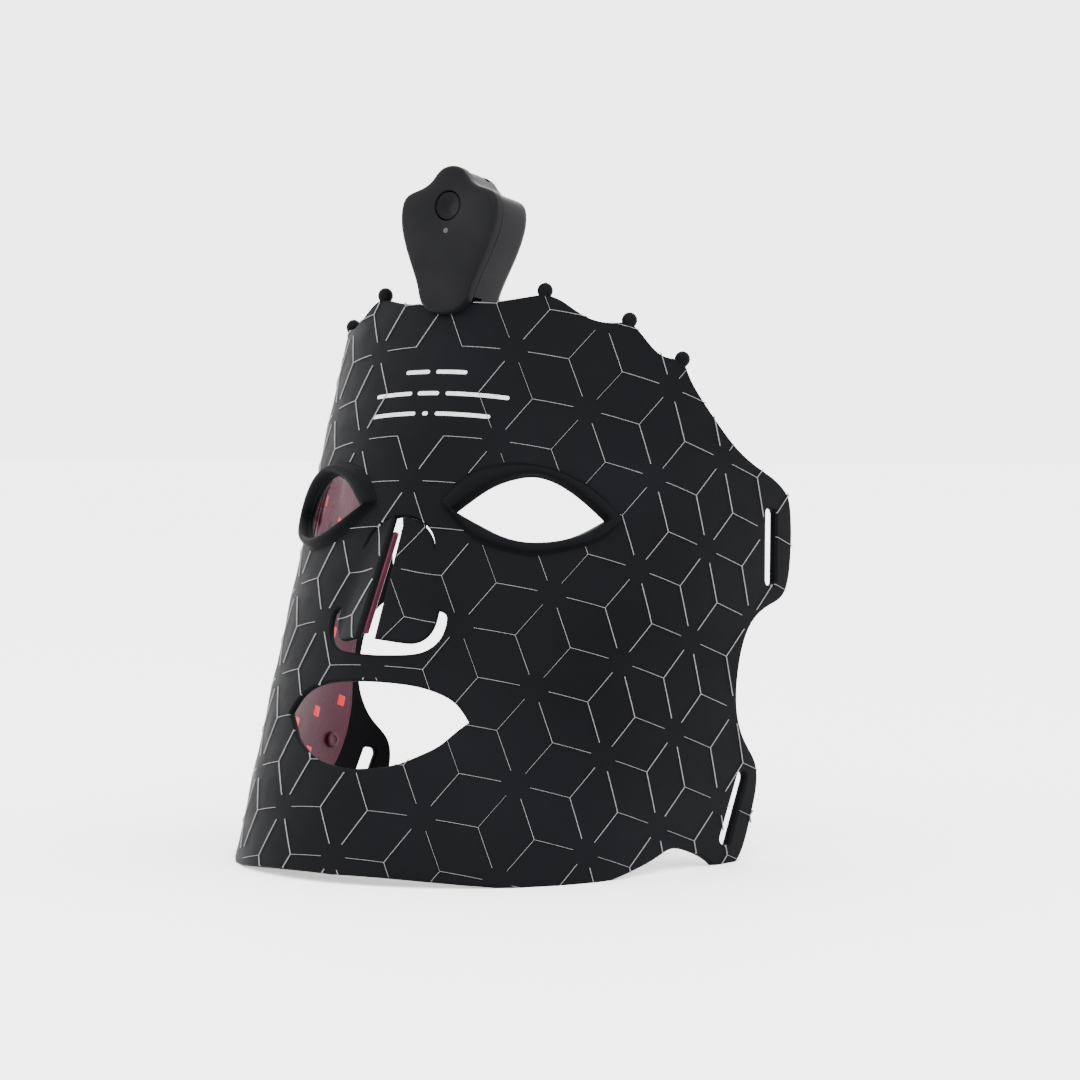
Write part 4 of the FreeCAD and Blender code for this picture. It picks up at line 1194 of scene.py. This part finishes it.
class MASK_OT_eye_rims(bpy.types.Operator):
    """Makes the raised cup around each eye"""
    bl_idname = "mask.eye_rims"
    bl_label = "Eye rims"

    def execute(self, context):
        height = context.scene.mask_sheet.rim_height
        foot = self.even([RIM_UPPER, RIM_LOWER])
        hole = self.even([EYE_UPPER, EYE_LOWER])
        wall = foot - hole
        rows = [
            (1.0, -0.6), (1.0, 0.0), (0.93, 0.45), (0.86, 1.5), (0.78, 3.0), (0.70, 4.3), (0.62, 5.0),
            (0.52, 5.35), (0.42, 5.4), (0.32, 5.25), (0.24, 4.8), (0.18, 4.1), (0.14, 3.0), (0.09, 1.4),
            (0.05, 0.0), (0.04, -1.2), (0.08, -2.0), (0.2, -2.15),
        ]
        tallest = max(depth for _, depth in rows)
        rows = [(share, depth * height / tallest if depth > 0 else depth) for share, depth in rows]
        points, faces, count = [], [], len(foot)
        for r, (share, depth) in enumerate(rows):
            points += [(u, v, depth) for u, v in hole + wall * share]
            faces += band(r * count, (r + 1) % len(rows) * count, count)
        for side, sign in (("right", 1), ("left", -1)):
            flat = np.array(points) * (sign, 1, 1)
            piece = add_piece("eye_rim_cup_" + side, on_sheet(flat), faces, finish_of("rim"))
            outward(piece.data)
            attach(piece, "centre_panel")
            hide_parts("eye_rim_" + side)
        return {"FINISHED"}

    def even(self, halves):
        """Closed eye outline with matching points on both halves."""
        out = []
        for half in halves:
            fine = smooth_line(half, 0.3)
            run = np.concatenate([[0.0], np.cumsum(np.hypot(*np.diff(fine, axis=0).T))])
            s = np.linspace(0.0, run[-1], 49)[:-1]
            out.append(np.stack([np.interp(s, run, fine[:, k]) for k in (0, 1)], 1))
        return np.concatenate(out)


class MASK_OT_cushion(bpy.types.Operator):
    """Makes the clear inner cushion and the circuit sheet behind it"""
    bl_idname = "mask.cushion"
    bl_label = "Inner cushion"

    def execute(self, context):
        sizes = context.scene.mask_sheet
        mouth = [grown(part, MOUTH_CENTRE) for part in (MOUTH_LOWER, MOUTH_UPPER)]
        nose = [grown(part, NOSE_CENTRE) for part in (NOSE_FOOT, NOSE_HINGE, NOSE_ARCH)]
        eye = [(grown(part, EYE_CENTRE), "round") for part in (EYE_UPPER, EYE_LOWER)]
        outer = [(CUSHION_EDGE, "round"), ([CUSHION_EDGE[-1], mouth[0][0]], "cut")]
        outer += [(part, "round") for part in mouth] + [([mouth[1][-1], nose[0][0]], "cut")]
        outer += [(part, "round") for part in nose] + [([nose[2][-1], CUSHION_EDGE[0]], "cut")]
        loops = [closed_loop(outer, sizes.edge_step), closed_loop(eye, sizes.edge_step)]
        cushion = flat_sheet(loops, stepped_profile(), sizes.grid)
        film_back = CUSHION_TOP + 0.01
        film_edge = [(FILM_INSET, FLEX_TOP, 0.0, 1.0), (FILM_INSET, FLEX_TOP, 1.0, 0.0)]
        film_edge += [(FILM_INSET, film_back, 1.0, 0.0), (FILM_INSET, film_back, 0.0, -1.0)]
        film = flat_sheet(loops, film_edge, sizes.grid)
        for side in ("right", "left"):
            other = side == "left"
            pad = stood_mesh("cushion_" + side, *cushion, finish_of("cushion"), other)
            wing_blend(pad, side)
            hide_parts("centre_liner", "wing_liner_" + side)
            circuit = stood_mesh("circuit_sheet_" + side, *film, finish_of("flex"), other)
            wing_blend(circuit, side)
            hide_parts("wing_flex_sheet_" + side)
        tail = frame["nodes"]["centre_flex_sheet"]
        tail.data.materials.clear()
        tail.data.materials.append(finish_of("flex"))
        return {"FINISHED"}


def grown(points, centre):
    """Outline points moved away from a centre by the cushion's margin."""
    out = []
    for u, v in points:
        du, dv = u - centre[0], v - centre[1]
        share = OPENING_MARGIN / math.hypot(du, dv)
        out.append((u + du * share, v + dv * share))
    if abs(points[0][0]) < 1e-6:
        out[0] = (0.0, out[0][1])
    if abs(points[-1][0]) < 1e-6:
        out[-1] = (0.0, out[-1][1])
    return out


def led_sites():
    """Flat LED places on the face panel, clear of every opening."""
    sites = []
    for row in range(10):
        v = LIGHT_TOP + LIGHT_PITCH * row
        for column in range(-5, 6):
            u = column * LIGHT_PITCH
            clear = [math.hypot((abs(u) - centre[0]) / wide, (v - centre[1]) / high)
                     for centre, wide, high in LIGHT_FREE]
            if min(clear) > 1.0:
                sites.append((u, v))
    return sites


def facing_turn(ahead, up):
    """Euler turn that sends +Z ahead and +Y up."""
    ahead = Vector(ahead).normalized()
    across = Vector(up).cross(ahead).normalized()
    upright = ahead.cross(across)
    return Matrix((across, upright, ahead)).transposed().to_euler()


def site_mesh(name, spots, turns):
    """Points with a turn each, for the copying tree."""
    mesh = bpy.data.meshes.new(name)
    mesh.from_pydata([tuple(s) for s in spots], [], [])
    turn = mesh.attributes.new("turn", "FLOAT_VECTOR", "POINT")
    turn.data.foreach_set("vector", [c for t in turns for c in t])
    return mesh


def sheet_sites(sites, depth, inward_side=True, shape=None):
    """Places and turns on the sheet, facing the wearer or the front."""
    flat = np.array([(u, v, depth) for u, v in sites])
    place = (lambda p: on_sheet(shape(p))) if shape else on_sheet
    spots = place(flat)
    out = place(flat + (0.0, 0.0, 0.01)) - spots
    up = place(flat + (0.0, -0.01, 0.0)) - spots
    turns = [facing_turn(-o if inward_side else o, w) for o, w in zip(out, up)]
    return spots, turns


def copies(name, spots, turns, body, material, second=None, second_material=None):
    """Realised copies of one or two source objects at the sites."""
    tree = bpy.data.node_groups.get("place copies") or copies_tree()
    values = {"Body": body, "Body material": material}
    if second:
        values["Second"] = second
        values["Second material"] = second_material
    mesh = run_tree(name, tree, values, site_mesh(name + "_sites", spots, turns))
    smoothed(mesh, 35)
    return linked(name, mesh)


def stacked(name, rings):
    """Closed source object from rings with equal point counts, capped at both ends."""
    count = len(rings[0])
    points = [at for ring in rings for at in ring]
    faces = [tuple(range(count))[::-1]]
    for start in range(0, len(points) - count, count):
        faces += band(start, start + count, count)
    faces.append(tuple(range(len(points) - count, len(points))))
    mesh = bpy.data.meshes.new(name)
    mesh.from_pydata([(x * MM, y * MM, z * MM) for x, y, z in points], [], faces)
    return bpy.data.objects.new(name, mesh)


def led_ring(shrink, height):
    """Ring of an LED package with clipped corners, in millimetres."""
    x, y = LIGHT_HALF[0] - shrink, LIGHT_HALF[1] - shrink
    cut = LIGHT_CLIP
    flat = [(-x + cut, -y), (x - cut, -y), (x, -y + cut), (x, y - cut)]
    flat += [(-a, -b) for a, b in flat]
    return [(a, b, height) for a, b in flat]


def led_sources():
    """One LED: ceramic frame and domed lens."""
    frame_rows = ((0.0, 0.0), (0.0, 0.68), (0.06, 0.75), (0.36, 0.75), (0.42, 0.6))
    lens_rows = ((0.43, 0.58), (0.43, 1.82), (0.52, 1.9), (0.8, 1.93))
    return (stacked("led_frame", [led_ring(s, h) for s, h in frame_rows]),
            stacked("led_lens", [led_ring(s, h) for s, h in lens_rows]))


class MASK_OT_leds(bpy.types.Operator):
    """Places the LEDs in the cushion"""
    bl_idname = "mask.leds"
    bl_label = "LEDs"

    def execute(self, context):
        body, lens = led_sources()
        finishes = finish_of("ceramic"), lens, finish_of("glow")
        sites = led_sites()
        for name, top, foot in (("forehead", 0.0, 50.0), ("cheeks", 50.0, 140.0), ("chin", 140.0, 190.0)):
            spots, turns = sheet_sites([s for s in sites if top <= s[1] < foot], CUSHION_TOP)
            piece = copies("led_set_" + name, spots, turns, body, *finishes)
            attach(piece, "centre_panel")
            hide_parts("leds_" + name)
        for side, sign in (("right", 1), ("left", -1)):
            columns = []
            for u, top, rows in WING_LEDS:
                columns += [(sign * u, top + WING_LIGHT_PITCH * row) for row in range(rows)]
            spots, turns = sheet_sites(columns, CUSHION_TOP)
            piece = copies("led_set_wing_" + side, spots, turns, body, *finishes)
            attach(piece, "wing_" + side)
            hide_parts("wing_leds_" + side)
            pair = [(sign * u, v) for u, v in FLAP_LEDS]
            spots, turns = sheet_sites(pair, CUSHION_TOP, True, flap_bend)
            piece = copies("led_set_flap_" + side, spots, turns, body, *finishes)
            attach(piece, "flap_" + side)
            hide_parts("nose_flap_leds_" + side)
        for source in (body, lens):
            bpy.data.objects.remove(source)
        return {"FINISHED"}


class MASK_OT_nubs(bpy.types.Operator):
    """Places the ball nubs along the brow edge and the studs inside the cushion"""
    bl_idname = "mask.nubs"
    bl_label = "Nubs and studs"

    def execute(self, context):
        profile = [(0.0, -6.2), (1.0, -6.0), (1.15, -4.5), (1.25, -3.3), (1.4, -2.5), (1.8, -1.8)]
        profile += [(2.3, -1.0), (2.5, 0.0), (2.25, 1.05), (1.7, 1.85), (0.9, 2.35), (0.0, 2.5)]
        source = self.turned("nub_source", profile, 20)
        flat = np.array([(s * u, v, -SKIN / 2) for u, v in NUBS for s in (1, -1)])
        spots = on_sheet(flat)
        up = on_sheet(flat + (0.0, -0.01, 0.0)) - spots
        out = on_sheet(flat + (0.0, 0.0, 0.01)) - spots
        turns = [facing_turn(w, o) for w, o in zip(up, out)]
        piece = copies("brow_nubs", spots, turns, source, finish_of("silicone"))
        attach(piece, "centre_panel")
        bpy.data.objects.remove(source)
        stud = [(0.0, -0.1), (2.6, -0.1), (2.6, 0.9), (2.45, 1.2), (2.1, 1.35), (1.5, 1.35), (1.3, 1.1)]
        source = self.turned("stud_source", stud + [(0.9, 1.0), (0.0, 1.0)], 24)
        sites = [(s * u, v) for u, v in STUDS for s in (1, -1)]
        spots, turns = sheet_sites(sites, CUSHION_BACK)
        piece = copies("cushion_studs", spots, turns, source, finish_of("cushion"))
        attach(piece, "centre_panel")
        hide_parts("liner_studs")
        for side, sign in (("right", 1), ("left", -1)):
            spots, turns = sheet_sites([(sign * WING_STUD[0], WING_STUD[1])], CUSHION_BACK)
            piece = copies("wing_stud_" + side, spots, turns, source, finish_of("cushion"))
            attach(piece, "wing_" + side)
        bpy.data.objects.remove(source)
        return {"FINISHED"}

    def turned(self, name, profile, segments):
        """Lathe-turned source object of a profile in millimetres."""
        points, faces = lathe([(radius * MM, height * MM) for radius, height in profile], segments)
        mesh = bpy.data.meshes.new(name)
        mesh.from_pydata(points, [], faces)
        return bpy.data.objects.new(name, mesh)


def box_rod(name, x, z, rows, material, segments=40):
    """Round piece along the control box depth from (radius, depth) rows; zero radius closes an end."""
    points, faces = lathe([(r, d) for r, d in rows], segments)
    spots = [(px + x, pz, py + z) for px, py, pz in points]
    piece = add_piece(name, box_place(spots), faces, material)
    outward(piece.data)
    smoothed(piece.data, 38)
    return piece


class MASK_OT_control_box(bpy.types.Operator):
    """Makes the forehead control box: cover, housing and button"""
    bl_idname = "mask.control_box"
    bl_label = "Control box"

    def execute(self, context):
        pieces = ((self.cover(), "box_front_cover"), (self.housing(), "box_rear_housing"))
        for piece, replaced in pieces:
            outward(piece.data)
            smoothed(piece.data, 32)
            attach(piece, "centre_panel")
            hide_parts(replaced)
        dish = [(0.0, 1.5), (1.0, 1.45), (1.9, 1.28), (2.7, 1.0), (3.3, 0.74), (3.75, 0.56), (4.1, 0.5)]
        dish += [(4.35, 0.56), (4.47, 0.7), (4.5, 0.95), (4.5, 2.8), (0.0, 2.8)]
        button = box_rod("round_button", 0.0, BUTTON_Z, dish, finish_of("button"))
        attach(button, "button")
        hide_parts("power_button")
        return {"FINISHED"}

    def cover(self):
        """Front cover with a soft edge, button well, status light hole and hollow back."""
        rows = [(2.4, 4.3), (2.2, 4.4), (2.1, 5.0), (0.3, 5.0), (0.0, 4.7), (0.0, 1.9), (0.1, 1.3)]
        rows += [(0.35, 0.75), (0.75, 0.34), (1.3, 0.09), (2.1, 0.0)]
        points, faces = box_rings(rows)
        back = list(range(BOX_COUNT))
        front = list(range(len(points) - BOX_COUNT, len(points)))
        well = [(5.25, 0.0), (5.02, 0.06), (4.88, 0.22), (4.85, 0.5), (4.85, 3.4)]
        mouths = [box_well(points, faces, 0.0, BUTTON_Z, well, 48)]
        mouths.append(box_well(points, faces, 0.0, STATUS_Z, [(1.0, 0.0), (0.9, 0.12), (0.9, 3.0)], 16))
        face_between(points, faces, front, mouths)
        face_between(points, faces, back, [])
        return add_piece("box_cover_shell", box_place(points), faces, finish_of("cover"))

    def housing(self):
        """Rear housing with a soft back edge, charging slot, four screw wells and a flat foot."""
        rows = [(1.4, 5.7), (0.85, 5.7), (0.6, 5.95), (0.6, 18.6), (0.72, 19.7), (1.05, 20.6), (1.6, 21.3)]
        points, faces = box_rings(rows + [(2.4, 21.8), (3.4, 22.0)])
        face_between(points, faces, list(range(BOX_COUNT)), [])
        face_between(points, faces, list(range(len(points) - BOX_COUNT, len(points))), [])
        piece = add_piece("box_housing_shell", box_place(points), faces, finish_of("housing"))
        outward(piece.data)
        for x, z in BOX_SCREWS:
            self.cut_round(piece, x, z, *SCREW_WELL)
        slot = []
        for side, start in ((-1, math.pi / 2), (1, -math.pi / 2)):
            for a in np.linspace(start, start + math.pi, 13):
                x, depth = PORT_RADIUS * math.cos(a), PORT_RADIUS * math.sin(a)
                slot.append((side * PORT_HALF + x, PORT_DEPTH + depth))
        self.cut_prism(piece, [(x, y, PORT_FLOOR) for x, y in slot], [(x, y, 60.0) for x, y in slot])
        foot = [(-30.0, -3.0), (30.0, -3.0), (30.0, FOOT_DEPTH), (-30.0, FOOT_DEPTH)]
        self.cut_prism(piece, [(x, y, -10.0) for x, y in foot], [(x, y, FOOT_TOP) for x, y in foot])
        return piece

    def cut_round(self, piece, x, z, radius, front, back):
        """Cuts a round well along the box depth."""
        ring = circle(radius, x, z, 24)
        self.cut_prism(piece, [(a, front, b) for a, b in ring], [(a, back, b) for a, b in ring])

    def cut_prism(self, piece, first, last):
        """Cuts a straight prism between two matching rings."""
        count = len(first)
        faces = band(0, count, count) + [tuple(range(count)), tuple(range(count, 2 * count))]
        cutter = add_piece("cutter", box_place(first + last), faces, finish_of("housing"))
        outward(cutter.data)
        cut_with(piece, cutter)


def star_ring(radius, wave, height, count=36):
    """Ring with six soft lobes, for a screw's drive."""
    out = []
    for k in range(count):
        a = math.tau * k / count
        r = radius + wave * math.cos(6 * a)
        out.append((r * math.cos(a), r * math.sin(a), height))
    return out


def screw_source():
    """Box screw standing along +Z, head up, with a six-lobed drive."""
    rows = [(0.5, 0.0, 0.0), (0.95, 0.0, 0.8), (0.95, 0.0, 16.6), (1.9, 0.0, 16.7), (1.9, 0.0, 17.5)]
    rows += [(1.75, 0.0, 17.9), (1.4, 0.0, 18.05), (1.0, 0.14, 18.05), (0.95, 0.14, 17.95), (0.9, 0.14, 17.3)]
    return stacked("screw_source", [star_ring(*row) for row in rows])


class MASK_OT_box_fittings(bpy.types.Operator):
    """Finishes the screws, port, board, cell and the other fittings in the control box"""
    bl_idname = "mask.box_fittings"
    bl_label = "Box fittings"

    def execute(self, context):
        finishes = {
            "box_seal": "rim", "button_switch": "dark", "control_board": "board", "battery_cell": "foil",
            "battery_pad": "foam", "flex_connector": "dark", "control_chip": "dark",
            "status_light_pipe": "pipe", "charging_port": "port",
        }
        for name, finish in finishes.items():
            piece = frame["nodes"][name]
            piece.data.materials.clear()
            piece.data.materials.append(finish_of(finish))
        source = screw_source()
        spots = box_place([(x, 2.65, z) for x, z in BOX_SCREWS])
        ways = box_place([(0.0, 0.0, 0.0), (0.0, 1.0, 0.0), (0.0, 0.0, 1.0)])
        turn = facing_turn(ways[1] - ways[0], ways[2] - ways[0])
        screws = copies("box_screw_set", spots, [turn] * len(spots), source, finish_of("screw"))
        bpy.data.objects.remove(source)
        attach(screws, "centre_panel")
        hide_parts("box_screws")
        return {"FINISHED"}


class MASK_OT_stage(bpy.types.Operator):
    """Lays the floor and sets the lights and the camera"""
    bl_idname = "mask.stage"
    bl_label = "Stage"

    def execute(self, context):
        sizes = context.scene.mask_stage
        half = sizes.floor_size / 2
        material, tree, shader, where = new_material("pale_floor")
        cloud = spread_to(tree, noise(tree, where, 0.8), 0.3, 0.7, 0.0, 1.0)
        paint(tree, shader, cloud, (0.94, 0.94, 0.945), (0.955, 0.955, 0.96))
        shader.inputs["Roughness"].default_value = 0.7
        corners = [(-half, -half, 0.0), (half, -half, 0.0), (half, half, 0.0), (-half, half, 0.0)]
        floor = add_piece("floor", corners, [(0, 1, 2, 3)], material)
        world = bpy.data.worlds.new("studio")
        world.use_nodes = True
        world.node_tree.nodes["Background"].inputs["Color"].default_value = (1.0, 1.0, 1.0, 1.0)
        world.node_tree.nodes["Background"].inputs["Strength"].default_value = sizes.sky
        context.scene.world = world
        sun = bpy.data.lights.new("soft_top", "SUN")
        sun.energy = sizes.sun
        sun.angle = math.radians(80)
        linked("soft_top", sun).rotation_euler = (math.radians(20), math.radians(15), 0.0)
        self.lamp("key", (0.9, -1.0, 1.3), (0.0, 0.0, 0.1), 0.9, sizes.light_power)
        self.lamp("side", (-1.2, -0.9, 0.7), (0.0, 0.0, 0.1), 0.9, sizes.light_power * 0.6)
        camera_data = bpy.data.cameras.new("camera")
        camera_data.lens = sizes.lens
        camera_data.sensor_width = 36.0
        camera_data.clip_end = 100.0
        camera = linked("camera", camera_data)
        camera.location = Vector(CAMERA_AT) + Vector(SHEET_AT)
        camera.rotation_euler = Vector(CAMERA_WAY).to_track_quat("-Z", "Y").to_euler()
        context.scene.camera = camera
        return {"FINISHED"}

    def lamp(self, name, at, aim, size, power):
        """Soft square light pointed at the mask."""
        data = bpy.data.lights.new(name, "AREA")
        data.size = size
        data.energy = power
        lamp = linked(name, data)
        lamp.location = at
        lamp.rotation_euler = (Vector(aim) - Vector(at)).to_track_quat("-Z", "Y").to_euler()


STEPS = (
    MASK_OT_skin, MASK_OT_nose_flaps, MASK_OT_pattern, MASK_OT_eye_rims, MASK_OT_cushion, MASK_OT_leds,
    MASK_OT_nubs, MASK_OT_control_box, MASK_OT_box_fittings, MASK_OT_stage,
)


class MASK_PT_panel(bpy.types.Panel):
    """Lists the steps that build the mask"""
    bl_idname = "MASK_PT_panel"
    bl_label = "Face Mask"
    bl_space_type = "VIEW_3D"
    bl_region_type = "UI"
    bl_category = "Face Mask"

    def draw(self, context):
        for key, group in GROUPS.items():
            box = self.layout.box()
            for name in group.__annotations__:
                box.prop(getattr(context.scene, key), name)
        for step in STEPS:
            self.layout.operator(step.bl_idname)


CLASSES = tuple(GROUPS.values()) + STEPS + (MASK_PT_panel,)


def register():
    for item in CLASSES:
        bpy.utils.register_class(item)
    for key, group in GROUPS.items():
        setattr(bpy.types.Scene, key, PointerProperty(type=group))


def unregister():
    for key in GROUPS:
        delattr(bpy.types.Scene, key)
    for item in reversed(CLASSES):
        bpy.utils.unregister_class(item)


def main():
    register()
    sheet_origin()
    for step in STEPS:
        space, verb = step.bl_idname.split(".")
        getattr(getattr(bpy.ops, space), verb)()


if __name__ == "__main__":
    main()
